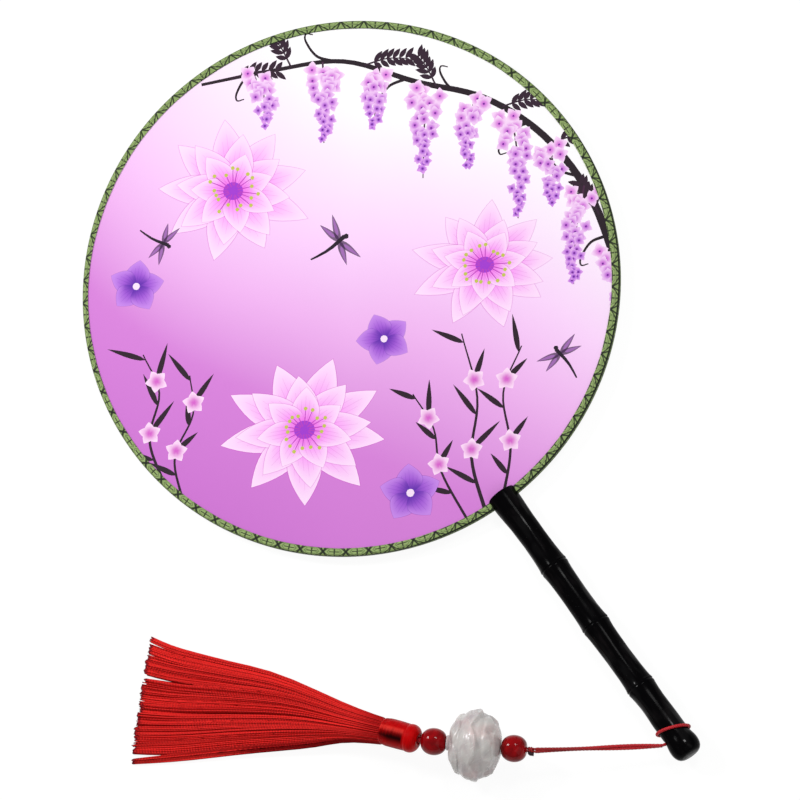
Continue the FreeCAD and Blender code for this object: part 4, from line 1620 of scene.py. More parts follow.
@dataclass
class EdgeBinding:
    """Brocade tape folded over the rim."""

    radius: float = 125.0
    half: float = 1.99
    cover: float = 3.9
    tape: float = 0.45
    fold: float = 1.0
    opening: float = 2.0
    steps: int = 720
    ripple: Pair = (0.12, 9.0)
    swell: Pair = (0.012, 5.0)
    pattern_at: float = 3.7
    flap: Table = (
        (-180, 2.6), (-150, 3.1), (-120, 3.6), (-60, 3.7), (0, 3.75), (48, 3.55), (80, 3.5), (120, 3.4),
        (160, 2.75), (180, 2.6),
    )
    drift: Table = (
        (-180, 1.7), (-80, 1.5), (-45, -0.6), (-20, -1.7), (62, -1.7), (92, 0.0), (148, 0.0), (172, 1.7),
        (180, 1.7),
    )
    finish: Brocade = Brocade()

    def section(self) -> list[Pair]:
        """Closed section of the folded tape, from its front edge round the rim and back inside.

        Returns:
            Corners as (radius, height), in millimetres.
        """
        inner = self.radius - self.cover
        turn = self.radius - self.fold
        outside = [(inner, self.half), (inner + 0.8, self.half + 0.04), (inner + 1.9, self.half)]
        for degrees in range(90, -15, -15):
            angle = math.radians(degrees)
            height = self.half - self.fold + self.fold * math.sin(angle)
            outside.append((turn + self.fold * math.cos(angle), height))
        outside.append((self.radius, 0.0))
        mirrored = [(r, -z) for r, z in reversed(outside[:-1])]
        inside = []
        for r, z in outside[:-1]:
            sunk = self.tape if r > turn + 0.6 else 0.0
            inside.append((min(r - sunk, self.radius - self.tape), z - math.copysign(self.tape, z)))
        back = [(r, -z) for r, z in inside] + inside[::-1]
        return [*outside, *mirrored, *back, outside[0]]

    def image_angle(self, point: Vector) -> float:
        """Angle of a point on the rim, clockwise from the right of the upright print, in degrees.

        Args:
            point: Point in the face's frame.

        Returns:
            The angle.
        """
        right, up = Face.axes()
        flat = Vector((point.x, point.y))
        return math.degrees(math.atan2(-flat.dot(up), flat.dot(right)))

    def build(self) -> None:
        """Make the tape."""
        sweep = math.tau - 2 * math.radians(self.opening)
        start = -math.pi / 2 - math.radians(self.opening)
        tape = Bench.lathe("edge_tape", self.section(), self.steps, sweep, start)
        for vertex in tape.data.vertices:
            place = vertex.co / MM
            reach = math.hypot(place.x, place.y)
            depth = self.radius - reach
            if depth <= self.fold:
                continue
            angle = self.image_angle(place)
            ripple, length = self.ripple
            wide = along_table(self.flap, angle)
            wide += ripple * noise.noise(Vector((place.x, place.y, 3.0)) / length)
            share = (depth - self.fold) / (self.cover - self.fold)
            depth = self.fold + share * (wide - self.fold)
            swell, length = self.swell
            lift = 1.0 + swell * share * noise.noise(Vector((place.x, place.y, 7.0)) / length)
            scale = (self.radius - depth) / reach
            vertex.co = Vector((place.x * scale, place.y * scale, place.z * lift)) * MM
        Bench.wrap(tape, self.spot, math.tau * self.radius * MM)
        Bench.settle(tape, PLACE.fan(), 35.0)
        hand_over(tape, self.finish.material("edge_brocade"), "fan", "brocade", "edge_binding")
        width = 2 * (self.half + self.cover) * MM
        math.tau * self.radius * MM

    def spot(self, point: Vector) -> Pair:
        """Place along and across the tape at a point, with the drift of its pattern.

        Args:
            point: Point in the face's frame, in metres.

        Returns:
            Metres along and across.
        """
        place = point / MM
        reach = math.hypot(place.x, place.y)
        side = math.copysign(1.0, place.z) if abs(place.z) > 0.01 else 1.0
        across = side * (min(abs(place.z), self.half) + max(self.radius - reach, 0.0))
        shift = along_table(self.drift, self.image_angle(place))
        along = math.atan2(place.y, place.x) * self.radius
        return along * MM, (across - self.pattern_at + shift) * MM


@dataclass
class Handle:
    """Black lacquered bamboo, sawn open over the rim and bored for the cord.

    Its outline is (radius, height) pairs in millimetres from the top; a ring's are (height, radius) pairs
    from its node, and the rim's heights are from the sawn end.
    """

    length: float = 153.2
    top: float = 1.2
    nodes: Triple = (43.6, 77.5, 113.3)
    waist: float = 6.05
    rim: Table = ((0.0, 0.0), (6.5, 0.0), (6.75, 0.08), (6.92, 0.28), (6.95, 0.6))
    neck: Table = ((6.9, 3.6), (6.78, 8.0), (6.5, 13.0), (6.2, 18.0), (6.1, 23.0), (6.05, 28.0))
    ring: Table = (
        (-8.0, 6.2), (-4.0, 6.42), (-2.0, 6.62), (-1.1, 6.82), (-0.6, 6.9), (-0.25, 6.7), (0.0, 6.55),
        (0.3, 6.66), (0.8, 6.84), (1.4, 6.76), (2.4, 6.58), (5.0, 6.36), (9.0, 6.18),
    )
    butt: Table = (
        (6.2, 126.0), (6.4, 131.0), (6.45, 133.0), (6.45, 138.0), (6.45, 142.6), (6.6, 143.6), (6.9, 145.0),
        (7.12, 146.3), (7.22, 147.4), (7.22, 148.5), (7.1, 149.6), (6.8, 150.7), (6.3, 151.7), (5.6, 152.5),
        (4.8, 153.0), (3.8, 153.2),
    )
    hole_at: float = 141.8
    hole: float = 1.43
    slot_half: float = 2.02
    slot_depth: float = 5.7
    tool: float = 40.0
    tool_clear: float = 2.0
    facets: int = 72
    grown_from: Pair = (7.0, 20.0)
    grown_to: Pair = (132.0, 124.0)
    flute_depth: float = 0.42
    flute_length: float = 26.0
    flute_full: float = 8.0
    flute_at: float = 0.9
    flute_spread: float = 0.16
    uneven: float = 0.1
    finish: BlackLacquer = BlackLacquer()

    def profile(self) -> list[Pair]:
        """Outline from the middle of the top end to the middle of the butt.

        Returns:
            Corners as (radius, height), in millimetres.
        """
        points = [(radius, self.top + step) for radius, step in self.rim]
        points += self.neck
        for index, node in enumerate(self.nodes):
            points += [(radius, node + step) for step, radius in self.ring]
            if index < len(self.nodes) - 1:
                points.append((self.waist, (node + self.nodes[index + 1]) / 2))
        return [*points, *self.butt, (0.0, self.length)]

    def build(self) -> None:
        """Make the handle."""
        rod = Bench.lathe("bamboo_handle", self.profile(), self.facets)
        for vertex in rod.data.vertices:
            vertex.co = self.grown(vertex.co / MM) * MM
        Bench.rest()
        bpy.ops.mesh.primitive_cube_add(size=1.0)
        saw = bpy.context.object
        depth = self.slot_depth + self.tool_clear
        saw.dimensions = Vector((self.tool, 2 * self.slot_half, depth)) * MM
        saw.location = Vector((0.0, 0.0, self.slot_depth - depth / 2)) * MM
        bpy.ops.object.transform_apply(location=True, rotation=True, scale=True)
        Bench.cut(rod, saw)
        Bench.rest()
        bpy.ops.mesh.primitive_cylinder_add(
            vertices=32, radius=self.hole * MM, depth=self.tool * MM, location=(0.0, 0.0, self.hole_at * MM),
            rotation=(0.0, math.pi / 2, 0.0),
        )
        drill = bpy.context.object
        bpy.ops.object.transform_apply(location=True, rotation=True, scale=True)
        Bench.cut(rod, drill)
        Bench.settle(rod, PLACE.handle(), 32.0)
        hand_over(rod, self.finish.material("handle_lacquer"), "fan", "lacquer", "handle")

    def grown(self, place: Vector) -> Vector:
        """Move a turned point to where the bamboo grew: flutes above the nodes and slight bends.

        Args:
            place: Turned point, in millimetres.

        Returns:
            Where it grew to.
        """
        run = ease(*self.grown_from, place.z) * ease(*self.grown_to, place.z)
        angle = math.atan2(place.y, place.x)
        reach = math.hypot(place.x, place.y)
        for index, node in enumerate(self.nodes):
            below = node - place.z
            if 0.0 < below < self.flute_length:
                off = math.remainder(angle - (self.flute_at + index * math.pi), math.tau)
                flute = self.flute_depth * math.exp(-(off**2) / self.flute_spread)
                reach -= flute * ease(0.0, 1.2, below) * ease(self.flute_length, self.flute_full, below)
        rough = noise.noise(around(angle, 2.2, place.z / 9.0))
        reach += self.uneven * rough * run
        bend = Vector((0.24 * math.sin(place.z / 19.0), 0.12 * math.cos(place.z / 15.0), 0.0)) * run
        return around(angle, reach, place.z) + bend


@dataclass
class CordWork:
    """Red cord: round the handle, two free strands and the knot before the first bead.

    The free strands lie through (run, aside, above) triples, and a leg through (across, down) pairs from
    the hole's middle. The knot's points are in the string's frame.
    """

    cord: float = 1.15
    plump: float = 0.74
    pressed: float = 0.78
    seat: float = 7.075
    slant: float = 5.4
    hole_at: float = 141.8
    offset: float = 0.65
    lay: tuple[Triple, ...] = (
        (9.0, 0.6, 0.36), (22.0, 0.58, 0.42), (34.0, 0.05, 0.72), (47.0, 0.15, 0.7),
    )
    leg: Table = ((7.1, 0.0), (2.0, 0.2), (-5.2, 0.8), (-8.15, -0.05), (-8.9, -0.55))
    reach: float = 57.2
    ring_points: int = 12
    knot_points: int = 27
    knot_start: float = 1.1
    knot_pitch: float = 0.082
    knot_tuck: float = 0.55
    knot_cord: float = 0.55
    core: tuple[float, ...] = (-0.5, 1.6, 2.8, 4.2)
    core_off: float = 0.6
    tail: tuple[Triple, ...] = (
        (0.0, 0.0, 2.6), (-1.2, -0.3, 2.9), (-1.9, -0.3, 2.2), (-1.9, 0.0, 0.6),
    )
    tail_cord: float = 0.92
    finish: Braid = Braid()

    def build(self) -> None:
        """Make the wrap, the strands and the knot."""
        self.material = self.finish.material("red_braid")
        self.strands()
        self.wrap()
        self.knot()

    def strands(self) -> None:
        """Make the two free strands."""
        mouth, knot = Vector(PLACE.mouth), Vector(PLACE.knot)
        way, side = heading(PLACE.strand_heading), heading(PLACE.string_heading).cross(UP)
        climb = (knot.z - mouth.z) / self.reach
        for name, node, sign in (("near_cord", "near_strand", -1), ("far_cord", "far_strand", 1)):
            route = [mouth + UP * (sign * self.offset)]
            for run, aside, above in self.lay:
                route.append(mouth + way * run + UP * (climb * run + sign * above) + side * (sign * aside))
            route.append(knot + side * (sign * self.offset))
            line = Thread.line([point * MM for point in route], samples=44)
            strand = Thread.cord(name, line, self.plump * MM)
            hand_over(strand, self.material, "cord", "red_cord", node)
            length = length_of(line)
            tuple(line[0])
            LOG.info("%s: %.1f mm long", name, length / MM)

    def wrap(self) -> None:
        """Make the turn round the handle and its two legs through the hole."""
        lean = math.atan2(self.slant / 2, self.seat)
        across = Vector((math.cos(lean), 0.0, math.sin(lean)))
        middle = Vector((0.0, 0.0, self.hole_at - self.slant / 2))
        wide = self.seat / math.cos(lean)
        grow = 1.0 / math.cos(math.pi / self.ring_points)
        ring = []
        for number in range(self.ring_points):
            angle = number / self.ring_points * math.tau
            out = Vector((0.0, 1.0, 0.0)) * (math.sin(angle) * self.seat * grow)
            ring.append(middle + across * (math.cos(angle) * wide * grow) + out)
        place = PLACE.handle()
        loop = Thread.line([place @ (p * MM) for p in ring], True)
        pieces = [Thread.cord("wrap_turn", loop, self.pressed * MM, True)]
        for sign in (-1, 1):
            leg = [Vector((x, sign * self.offset, self.hole_at + down)) for x, down in self.leg]
            line = Thread.line([place @ (p * MM) for p in leg])
            pieces.append(Thread.cord("wrap_leg", line, self.cord / 2 * MM))
        wrap = Bench.join("cord_turn", pieces)
        hand_over(wrap, self.material, "fan", "red_cord", "cord_wrap")

    def knot(self) -> None:
        """Make the small knot: two turns round the string and one cut end."""
        place = PLACE.string()
        turns = []
        for number in range(self.knot_points):
            angle = number / self.ring_points * math.tau
            reach = 1.0 if 0 < number < self.knot_points - 1 else self.knot_tuck
            turns.append(around(angle, reach, self.knot_start + number * self.knot_pitch))
        cores = [[Vector((x, 0.0, z)) for z in self.core] for x in (-self.core_off, self.core_off)]
        tail = [Vector(point) for point in self.tail]
        pieces = []
        for route in (turns, *cores, tail):
            line = Thread.line([place @ (p * MM) for p in route])
            radius = self.tail_cord if route is tail else self.knot_cord
            run = Thread.cord("knot_run", line, radius * MM)
            shift = self.finish.burnt_from if route is tail else self.reach * MM
            for corner in run.data.uv_layers[WRAPPED].data:
                corner.uv.x += shift
            pieces.append(run)
        knot = Bench.join("small_knot", pieces)
        hand_over(knot, self.material, "string", "red_cord", "cord_knot")


@dataclass
class RedBeads:
    """Two polished beads on the string."""

    length: float = 11.6
    radius: float = 6.25
    bore: float = 1.25
    lip: float = 0.35
    rows: int = 24
    fullness: float = 0.96
    facets: int = 64
    stops: Pair = (4.225, 41.525)
    finish: PolishedBead = PolishedBead()

    def build(self) -> None:
        """Make both beads."""
        half = self.length / 2
        mouth = self.bore + self.lip
        hole = [(self.bore, 0.5), (self.bore + 0.1, 0.15), (mouth, 0.0)]
        profile = list(hole)
        for step in range(1, self.rows):
            angle = math.pi * step / self.rows
            round_off = math.sin(angle)
            reach = mouth * (1 - round_off) + self.radius * round_off**self.fullness
            profile.append((reach, half - half * math.cos(angle)))
        profile += [(radius, self.length - height) for radius, height in reversed(hole)]
        profile.append(profile[0])
        for name, stop in zip(("upper_bead", "lower_bead"), self.stops):
            bead = Bench.lathe(name + "_polished", profile, self.facets)
            Bench.settle(bead, PLACE.string() @ Matrix.Translation((0.0, 0.0, stop * MM)), 50.0)
            hand_over(bead, self.finish.material(name + "_gloss"), name, "red_bead", name)


@dataclass(frozen=True)
class Tier:
    """One ring of carved petals, measured from the bead's stem end in millimetres."""

    tip: float
    notch: float
    petals: int
    turn: float
    radii: Table
    crown: float = 0.45
    root: float = 0.0
    flare: float = 0.22
    flare_run: Pair = (2.6, 0.2)
    root_run: Pair = (4.2, 1.6)
    sunk: float = 0.35

    def reach(self, run: float, angle: float) -> float | None:
        """Radius of the tier at a place, or nothing past the edge of its petals.

        Args:
            run: Distance from the stem's end.
            angle: Angle round the bead.

        Returns:
            The radius, or nothing.
        """
        pitch = math.tau / self.petals
        off = math.remainder(angle - self.turn, pitch) / (pitch / 2)
        edge = self.tip - self.notch * off * off
        if run > edge:
            return None
        curl = self.flare * ease(*self.flare_run, edge - run)
        round_off = self.crown * (1.0 - off * off)
        back = self.root * off * off * ease(*self.root_run, run)
        return along_table(self.radii, run - back) + curl + round_off - self.sunk


@dataclass
class LotusBead:
    """Carved lotus: rings of petals that open towards the knot, with its stem on the tassel's side."""

    stop: float = 16.175
    length: float = 25.0
    bore: float = 1.25
    collar: float = 3.5
    stem: float = 1.6
    rings: int = 150
    facets: int = 240
    tiers: tuple[Tier, ...] = (
        Tier(5.6, 2.6, 5, 0.145, ((0.0, 4.4), (0.5, 9.4), (1.4, 11.6), (3.0, 13.2), (6.0, 13.9)), 0.7, 2.4),
        Tier(
            14.6, 3.6, 5, 0.773,
            ((1.0, 10.0), (3.0, 12.0), (5.0, 13.5), (9.0, 15.9), (12.0, 16.6), (15.0, 16.6)),
        ),
        Tier(20.9, 3.4, 7, 0.20, ((8.0, 14.6), (12.0, 15.3), (14.2, 15.2), (17.0, 14.2), (21.0, 12.0))),
        Tier(22.6, 1.2, 5, 0.60, ((14.0, 12.4), (19.0, 11.4), (21.2, 10.0), (22.6, 7.4))),
    )
    heart: Table = ((20.0, 9.6), (22.0, 7.8), (23.0, 5.2), (23.4, 3.5))
    uneven: float = 0.12
    softness: int = 30
    finish: MilkyStone = MilkyStone()

    def reach(self, height: float, angle: float) -> float:
        """Radius of the carved surface at a place.

        Args:
            height: Distance from the knot's side.
            angle: Angle round the bead.

        Returns:
            The radius.
        """
        run = self.length - self.stem - height
        if run <= 0.0:
            return self.tiers[0].reach(run, angle) if run == 0.0 else self.collar
        for tier in self.tiers:
            found = tier.reach(run, angle)
            if found is not None:
                return found
        return along_table(self.heart, run)

    def build(self) -> None:
        """Make the bead."""
        skin = [(1.0, self.length * number / self.rings) for number in range(self.rings + 1)]
        bore = [(self.bore, self.length), (self.bore, self.length / 2), (self.bore, 0.0)]
        bead = Bench.lathe("lotus_carved", [*skin, *bore, skin[0]], self.facets)
        for vertex in bead.data.vertices:
            place = vertex.co / MM
            if math.hypot(place.x, place.y) > self.bore - 0.1:
                continue
            angle = math.atan2(place.y, place.x)
            rough = noise.noise(around(angle, 5.0, place.z / 2.5))
            vertex.co = around(angle, self.reach(place.z, angle) + self.uneven * rough, place.z) * MM
        carved = (self.collar + 0.4) * MM
        petals = [v.index for v in bead.data.vertices if math.hypot(v.co.x, v.co.y) > carved]
        bead.vertex_groups.new(name="petals").add(petals, 1.0, "REPLACE")
        Bench.take(bead)
        soften = bead.modifiers.new("soften", "SMOOTH")
        soften.factor = 0.5
        soften.iterations = self.softness
        soften.vertex_group = "petals"
        bpy.ops.object.modifier_apply(modifier=soften.name)
        Bench.settle(bead, PLACE.string() @ Matrix.Translation((0.0, 0.0, self.stop * MM)), 60.0)
        hand_over(bead, self.finish.material("lotus_stone"), "lotus_bead", "lotus", "lotus_bead")


@dataclass(frozen=True)
class Lock:
    """One lock of the skirt: where it lies across, how wide and high, and how it sways."""

    middle: float
    half: float
    level: float
    sway: float
    phase: float
    short: float


@dataclass
class Tassel:
    """Satin-wound head and the skirt of crimped threads that fans out on the table.

    The head's outline is (radius, height) pairs in millimetres from its top. The skirt lies between two
    edges on the table. Its layers are locks, threads of a lock and level, and its gaps are the place across,
    the width and the share of the length at which they open.
    """

    head_radius: float = 6.6
    head_facets: int = 64
    hole: Table = ((1.7, 1.2), (1.7, 0.5), (2.1, 0.1), (2.9, 0.0))
    dome: Pair = (3.75, 3.9)
    dome_rows: int = 8
    collar: Table = ((6.62, 4.6), (6.5, 5.0), (6.3, 5.35))
    windings: int = 40
    winding_from: float = 5.6
    winding_pitch: float = 0.3
    groove: Pair = (0.05, 0.03)
    sleeve: float = 6.36
    belly: float = 0.14
    drawn_in: float = 0.34
    mouth: Table = ((5.95, 17.8), (5.7, 18.0), (5.4, 17.8), (5.35, 12.0), (5.3, 3.6), (3.6, 1.5))
    uneven: float = 0.09
    thread: float = 0.27
    thread_turn: float = 0.5236
    # Painted shadow: threads at the lower edge of the skirt are darkened near the head
    painted_underside_shadow: float = 0.9
    painted_shadow_run: Pair = (38.0, 62.0)
    steps: int = 15
    seed: int = 11
    upper: Table = (
        (-102.4, -101.4), (-112.6, -84.6), (-130.7, -52.3), (-148.5, -29.4), (-161.4, -12.6), (-168.2, -1.0),
    )
    lower: Table = (
        (-110.6, -110.0), (-124.0, -97.0), (-140.3, -87.4), (-164.2, -72.3), (-190.6, -56.4), (-210.5, -43.2),
    )
    layers: tuple[tuple[int, int, float], ...] = (
        (14, 15, 0.1), (17, 18, 0.46), (31, 20, 0.84), (44, 2, 0.97),
    )
    gaps: tuple[Triple, ...] = (
        (0.37, 0.04, 0.72), (0.26, 0.014, 0.8), (0.72, 0.018, 0.8), (0.9, 0.02, 0.76), (-0.89, 0.055, 0.8),
        (-0.42, 0.015, 0.9), (-0.02, 0.014, 0.9), (-0.64, 0.014, 0.9), (0.55, 0.012, 0.9),
    )
    gap_reach: float = 0.07
    tufts: tuple[Triple, ...] = ((17.0, 0.4, 0.2), (49.0, 0.7, 0.1))
    roots: Table = ((13.5, 4.7), (16.6, 5.0))
    satin: WoundSatin = WoundSatin()
    silk: CrimpedThread = CrimpedThread()

    def build(self) -> None:
        """Make the head and the skirt."""
        self.make_head()
        self.make_skirt()

    def make_head(self) -> None:
        """Make the wound head with its rounded top."""
        wide, high = self.dome
        shoulder = self.hole[-1][0]
        profile = list(self.hole)
        for step in range(1, self.dome_rows + 1):
            angle = math.radians(step * 90 / self.dome_rows)
            profile.append((shoulder + wide * math.sin(angle), high - high * math.cos(angle)))
        profile += self.collar
        for step in range(self.windings):
            height = self.winding_from + step * self.winding_pitch
            bulge = self.sleeve + self.belly * math.sin(math.pi * step / self.windings)
            bulge -= self.drawn_in * ease(14.6, 17.6, height)
            profile.append((bulge - self.groove[0], height))
            profile.append((bulge + self.groove[1], height + self.winding_pitch / 2))
        head = Bench.lathe("tassel_cap", [*profile, *self.mouth, profile[0]], self.head_facets)
        Bench.wrap(head, self.spot, 1.0)
        for vertex in head.data.vertices:
            place = vertex.co / MM
            angle = math.atan2(place.y, place.x)
            rough = self.uneven * noise.noise(around(angle, 1.4, place.z / 7.0))
            reach = 1.0 + rough / self.head_radius
            vertex.co = Vector((place.x * reach, place.y * reach, place.z)) * MM
        Bench.settle(head, PLACE.head(), 60.0)
        hand_over(head, self.satin.material("head_satin"), "tassel", "red_satin", "tassel_head")

    @staticmethod
    def spot(point: Vector) -> Pair:
        """Metres along the head and turns round it."""
        return point.z, math.atan2(point.y, point.x) / math.tau + 0.5

    @staticmethod
    def on_edge(edge: Table, share: float) -> Vector:
        """Point of an edge of the skirt at a share of its length.

        Args:
            edge: Points of the edge.
            share: Share of its length.

        Returns:
            The point on the table.
        """
        place = share * (len(edge) - 1)
        index = min(int(place), len(edge) - 2)
        four = [Vector(edge[min(max(index + k, 0), len(edge) - 1)]) for k in (-1, 0, 1, 2)]
        return through(four, place - index)

    def make_skirt(self) -> None:
        """Make every thread of the skirt as one piece, lock by lock."""
        dice = random.Random(self.seed)
        points: list[Vector] = []
        faces: list[Sequence[int]] = []
        spots: list[Pair] = []
        for locks, threads, level in self.layers:
            for number in range(locks):
                lock = Lock(
                    middle=-1.0 + (2.0 * number + 1.0 + dice.uniform(-0.7, 0.7)) / locks,
                    half=dice.uniform(0.7, 1.9) / locks,
                    level=level + dice.uniform(-0.1, 0.06),
                    sway=dice.uniform(-0.055, 0.055),
                    phase=dice.uniform(0.0, math.tau),
                    short=dice.uniform(0.0, 0.022),
                )
                for place in range(threads):
                    off = -1.0 + 2.0 * (place + dice.random()) / threads
                    # Painted shade: each thread is darker towards the edges of its lock, on top of a random
                    # tone of its own
                    shade = held(0.86 - 0.5 * abs(off) ** 4 + dice.uniform(-0.38, 0.13), 0.0, 0.99)
                    # Painted shadow on the lower edge of the skirt, near the head
                    under = self.painted_underside_shadow * ease(-0.84, -0.98, lock.middle + lock.half * off)
                    self.add_thread(self.thread_line(lock, off, dice), shade, under, points, faces, spots)
        skirt = Bench.from_data("tassel_threads", points, faces)
        layer = skirt.data.uv_layers.new(name=WRAPPED)
        for loop in skirt.data.loops:
            layer.data[loop.index].uv = spots[loop.vertex_index]
        Bench.take(skirt)
        bpy.ops.object.shade_smooth()
        hand_over(skirt, self.silk.material("skirt_thread"), "tassel", "red_thread", "tassel_skirt")

    def parted(self, across: float, side: float, share: float) -> float:
        """Keep a place across the skirt out of the gaps at its cut end, on the side its thread started on.

        Args:
            across: Where the thread starts, from -1 to 1.
            side: Where it has swayed to.
            share: Share of its length.

        Returns:
            The place out of the gaps.
        """
        moved = side
        for gap, size, start in self.gaps:
            sign = math.copysign(1.0, across - gap)
            lean = (side - gap) * sign
            wide = size * max((share - start) / (1.0 - start), 0.0)
            push = wide * math.exp(-max(lean, 0.0) / self.gap_reach)
            push += max(-lean, 0.0) * ease(start - 0.12, start + 0.1, share)
            moved += sign * push
        return held(moved, -1.0, 1.0)

    def thread_line(self, lock: Lock, off: float, dice: random.Random) -> list[Vector]:
        """Route of one thread: out of the round head, down to the table and along it.

        Args:
            lock: Lock that it lies in.
            off: Place across the lock, from -1 to 1.
            dice: Source of its own small ways.

        Returns:
            Points in millimetres.
        """
        head = PLACE.head()
        across = held(lock.middle + lock.half * off, -1.0, 1.0)
        level = lock.level - 0.16 * off * off
        round_off = math.sqrt(max(1.0 - (2.0 * level - 1.0) ** 2, 0.06))
        line = [
            head @ (Vector((across * reach * round_off, reach * (1.0 - 2.0 * level), depth)) * MM) / MM
            for depth, reach in self.roots
        ]
        tuft = sum(0.6 * noise.noise(Vector((across * rate, *row))) for rate, *row in self.tufts)
        end = 1.0 - lock.short - dice.uniform(0.0, 0.02) - 0.018 * (0.4 + tuft)
        for step in range(self.steps):
            share = (step + 0.35) / (self.steps - 0.65) * end
            loose = ease(0.08, 0.75, share)
            side = across + lock.sway * math.sin(share * 4.2 + lock.phase) * loose * (1.0 - across * across)
            side = self.parted(across, side, share)
            flat = self.on_edge(self.lower, share).lerp(self.on_edge(self.upper, share), (side + 1.0) / 2.0)
            crown = math.sqrt(max(1.0 - side * side, 0.0))
            thick = (11.0 - 6.2 * ease(0.0, 0.85, share)) * (0.3 + 0.7 * crown)
            base = 0.5 + 8.4 * (1.0 - min(share, 1.0)) ** 2.4 * (1.0 - 0.12 * crown)
            bundle = 13.9 - 20.8 * share + 5.8 * crown * (2.0 * level - 1.0)
            laid = base + thick * max(level, 0.02)
            line.append(Vector((flat.x, flat.y, bundle + (laid - bundle) * ease(0.0, 0.24, share))))
        return line

    def add_thread(
        self,
        line: Sequence[Vector],
        own: float,
        under: float,
        points: list[Vector],
        faces: list[Sequence[int]],
        spots: list[Pair],
    ) -> None:
        """Add a three-sided thread along a line to the growing skirt.

        Args:
            line: Route, in millimetres.
            own: Brightness of the thread, from 0 to 1, with painted shade at the edges of its lock.
            under: How much painted shadow darkens it near the head.
            points: Points so far.
            faces: Faces so far.
            spots: UV of each point so far.
        """
        first = len(points)
        run = length_of(line)
        for index, here in enumerate(line):
            way = way_at(line, index)
            side = way.cross(UP).normalized()
            third = side.cross(way)
            if index:
                run -= (here - line[index - 1]).length
            for corner in range(3):
                angle = corner / 3 * math.tau + self.thread_turn
                offset = side * math.cos(angle) + third * math.sin(angle)
                points.append((here + offset * self.thread) * MM)
                # V holds the thread's brightness less the painted shadow near the head
                spots.append((run * MM, max(own - under * ease(*self.painted_shadow_run, run), 0.0)))
        for ring in range(len(line) - 1):
            for corner in range(3):
                a = first + ring * 3 + corner
                b = first + ring * 3 + (corner + 1) % 3
                faces.append((a, b, b + 3, a + 3))
        last = first + (len(line) - 1) * 3
        faces.append((first + 2, first + 1, first))
        faces.append((last, last + 1, last + 2))


@dataclass
class HiddenWork:
    """Solids that stay as they are, with their own finishes."""

    cord: Braid = Braid()
    wire: LinedStock = LinedStock(
        first=dye(120, 120, 124), last=dye(176, 177, 180), lines=500.0, shape=(1.0, 1.0, 8.0),
        fade=(0.3, 0.7), depth=0.02 * MM, strength=0.4, roughness=0.2, metal=1.0,
    )
    bamboo: LinedStock = LinedStock(
        first=dye(206, 176, 122), last=dye(150, 116, 70), lines=2400.0, shape=(1.0, 0.06, 1.0),
        fade=(0.4, 0.7), depth=0.05 * MM, strength=0.6, roughness=0.55, metal=0.0,
    )

    def build(self) -> None:
        """Dress the hoop, the wedges, the string and what is inside the tassel head."""
        cord = self.cord.material("inner_braid", False)
        finishes = {
            "frame_hoop": self.wire.material("hoop_wire"),
            "tang_wedges": self.bamboo.material("wedge_bamboo"),
            "bead_cord": cord,
            "hanger_knot": cord,
            "tassel_tie": cord,
        }
        for node, finish in finishes.items():
            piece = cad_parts[node]
            piece.data.materials.clear()
            piece.data.materials.append(finish)
            LOG.info("%s: solid kept", node)


class Lamp(Enum):
    """Lamps of the studio: direction in the camera's frame, power in watts and width in metres."""

    KEY = ((-0.70, 0.377, 0.609), 5.0, 0.2)
    SECOND = ((0.174, 0.446, 0.878), 2.7, 0.22)
    FILL = ((0.55, -0.35, 0.75), 1.2, 0.9)


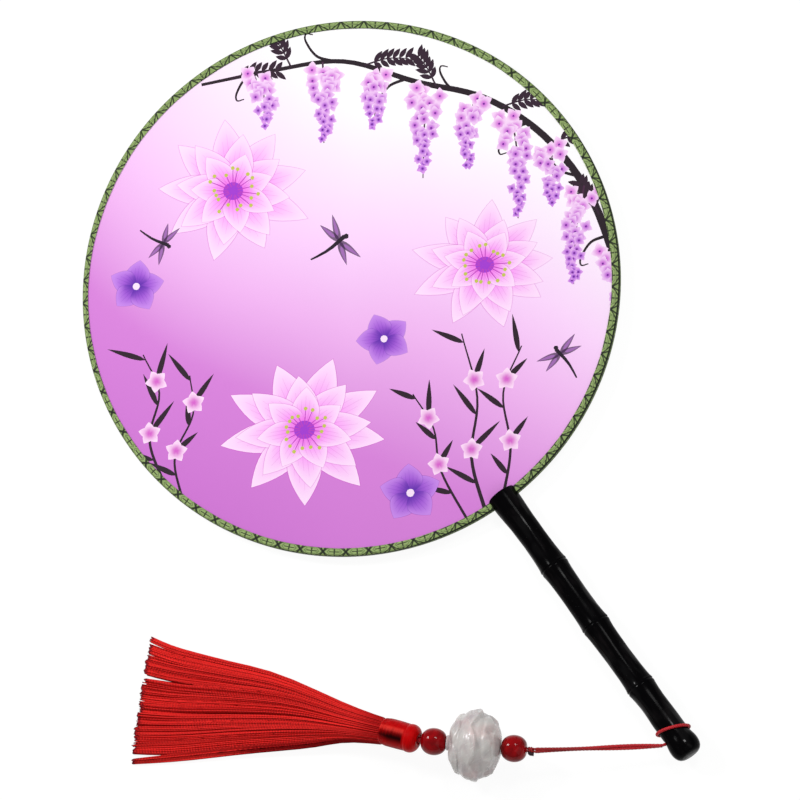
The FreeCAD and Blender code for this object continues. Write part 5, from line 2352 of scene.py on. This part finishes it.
@dataclass
class Studio:
    """Camera at the photograph's angle, plain white floor and soft lamps."""

    azimuth: float = 6.25
    elevation: float = 75.64
    roll: float = 42.52
    aside: Pair = (0.0222, -0.0510)
    view: float = 0.366
    lens: float = 1500.0
    sensor: float = 36.0
    sky: float = 0.34
    floor: float = 6.0
    paper: float = 0.5
    shade: float = 0.1
    glow: float = 0.93

    def axes(self) -> Matrix:
        """Camera axes as columns: right, up and back.

        Returns:
            The axes as a matrix.
        """
        turn, rise, roll = (math.radians(v) for v in (self.azimuth, self.elevation, self.roll))
        back = Vector((math.sin(turn) * math.cos(rise), -math.cos(turn) * math.cos(rise), math.sin(rise)))
        level = Vector((math.cos(turn), math.sin(turn), 0.0))
        upright = back.cross(level)
        right = level * math.cos(roll) - upright * math.sin(roll)
        up = level * math.sin(roll) + upright * math.cos(roll)
        return Matrix((right, up, back)).transposed()

    def target(self) -> Vector:
        """Point in the middle of the picture, measured across it from the middle of the face."""
        axes = self.axes()
        return PLACE.fan().translation + axes.col[0] * self.aside[0] + axes.col[1] * self.aside[1]

    def build(self) -> None:
        """Set up the camera, the lamps, the floor and the sky."""
        axes = self.axes()
        away = self.view * self.lens / self.sensor
        data = bpy.data.cameras.new("camera")
        data.lens, data.sensor_width, data.sensor_fit = self.lens, self.sensor, "HORIZONTAL"
        camera = bpy.data.objects.new("camera", data)
        camera.matrix_world = Matrix.Translation(self.target() + axes.col[2] * away) @ axes.to_4x4()
        bpy.context.scene.collection.objects.link(camera)
        bpy.context.scene.camera = camera
        for lamp in Lamp:
            way, power, width = lamp.value
            self.hang(lamp.name.lower(), axes @ Vector(way), power, width)
        self.lay_floor()
        self.light_sky()
        bpy.context.scene.view_settings.view_transform = "Standard"

    def hang(self, name: str, way: Vector, power: float, width: float) -> None:
        """Hang one square lamp a metre away and point it at the fan.

        Args:
            name: Name of the lamp.
            way: Direction to it.
            power: Its watts.
            width: Its side, in metres.
        """
        data = bpy.data.lights.new(name, "AREA")
        data.energy, data.size = power, width
        lamp = bpy.data.objects.new(name, data)
        way = way.normalized()
        turn = way.to_track_quat("Z", "Y").to_matrix().to_4x4()
        lamp.matrix_world = Matrix.Translation(self.target() + way) @ turn
        bpy.context.scene.collection.objects.link(lamp)

    def lay_floor(self) -> None:
        """Lay a pale floor that looks white to the camera and still takes the shadow."""
        Bench.rest()
        bpy.ops.mesh.primitive_plane_add(size=self.floor)
        floor = bpy.context.object
        floor.name = "floor"
        shader = Shader("floor_paper")
        rays = shader.node("LightPath")
        seen = rays.upper(rays.out("Is Glossy Ray")).upper(rays.out("Is Transmission Ray"))
        plain, shadow = (
            shader.node("BsdfDiffuse", {}, {"Color": (tone, tone, tone, 1.0)})
            for tone in (self.paper, self.shade)
        )
        glow = shader.node("Emission", {}, {"Color": (1.0, 1.0, 1.0, 1.0), "Strength": self.glow})
        white = shader.node("AddShader", {}, {0: shadow, 1: glow})
        mixed = shader.node("MixShader", {}, {0: seen, 1: plain, 2: white})
        shader.node("OutputMaterial", {}, {"Surface": mixed})
        floor.data.materials.append(shader.material)

    def light_sky(self) -> None:
        """Give the surroundings an even, dim light."""
        world = bpy.data.worlds.new("sky")
        world.use_nodes = True
        ground = world.node_tree.nodes["Background"]
        ground.inputs["Color"].default_value = (1.0, 1.0, 1.0, 1.0)
        ground.inputs["Strength"].default_value = self.sky
        bpy.context.scene.world = world


def main() -> None:
    """Build the scene: camera and cords first, then the rest of the fan and the pendant."""
    logging.basicConfig(level=logging.INFO, format="%(name)s: %(message)s")
    fan = (Face(), EdgeBinding(), Handle())
    pendant = (RedBeads(), LotusBead(), Tassel())
    for part in (Studio(), CordWork(), *fan, *pendant, HiddenWork()):
        part.build()


if __name__ == "__main__":
    main()
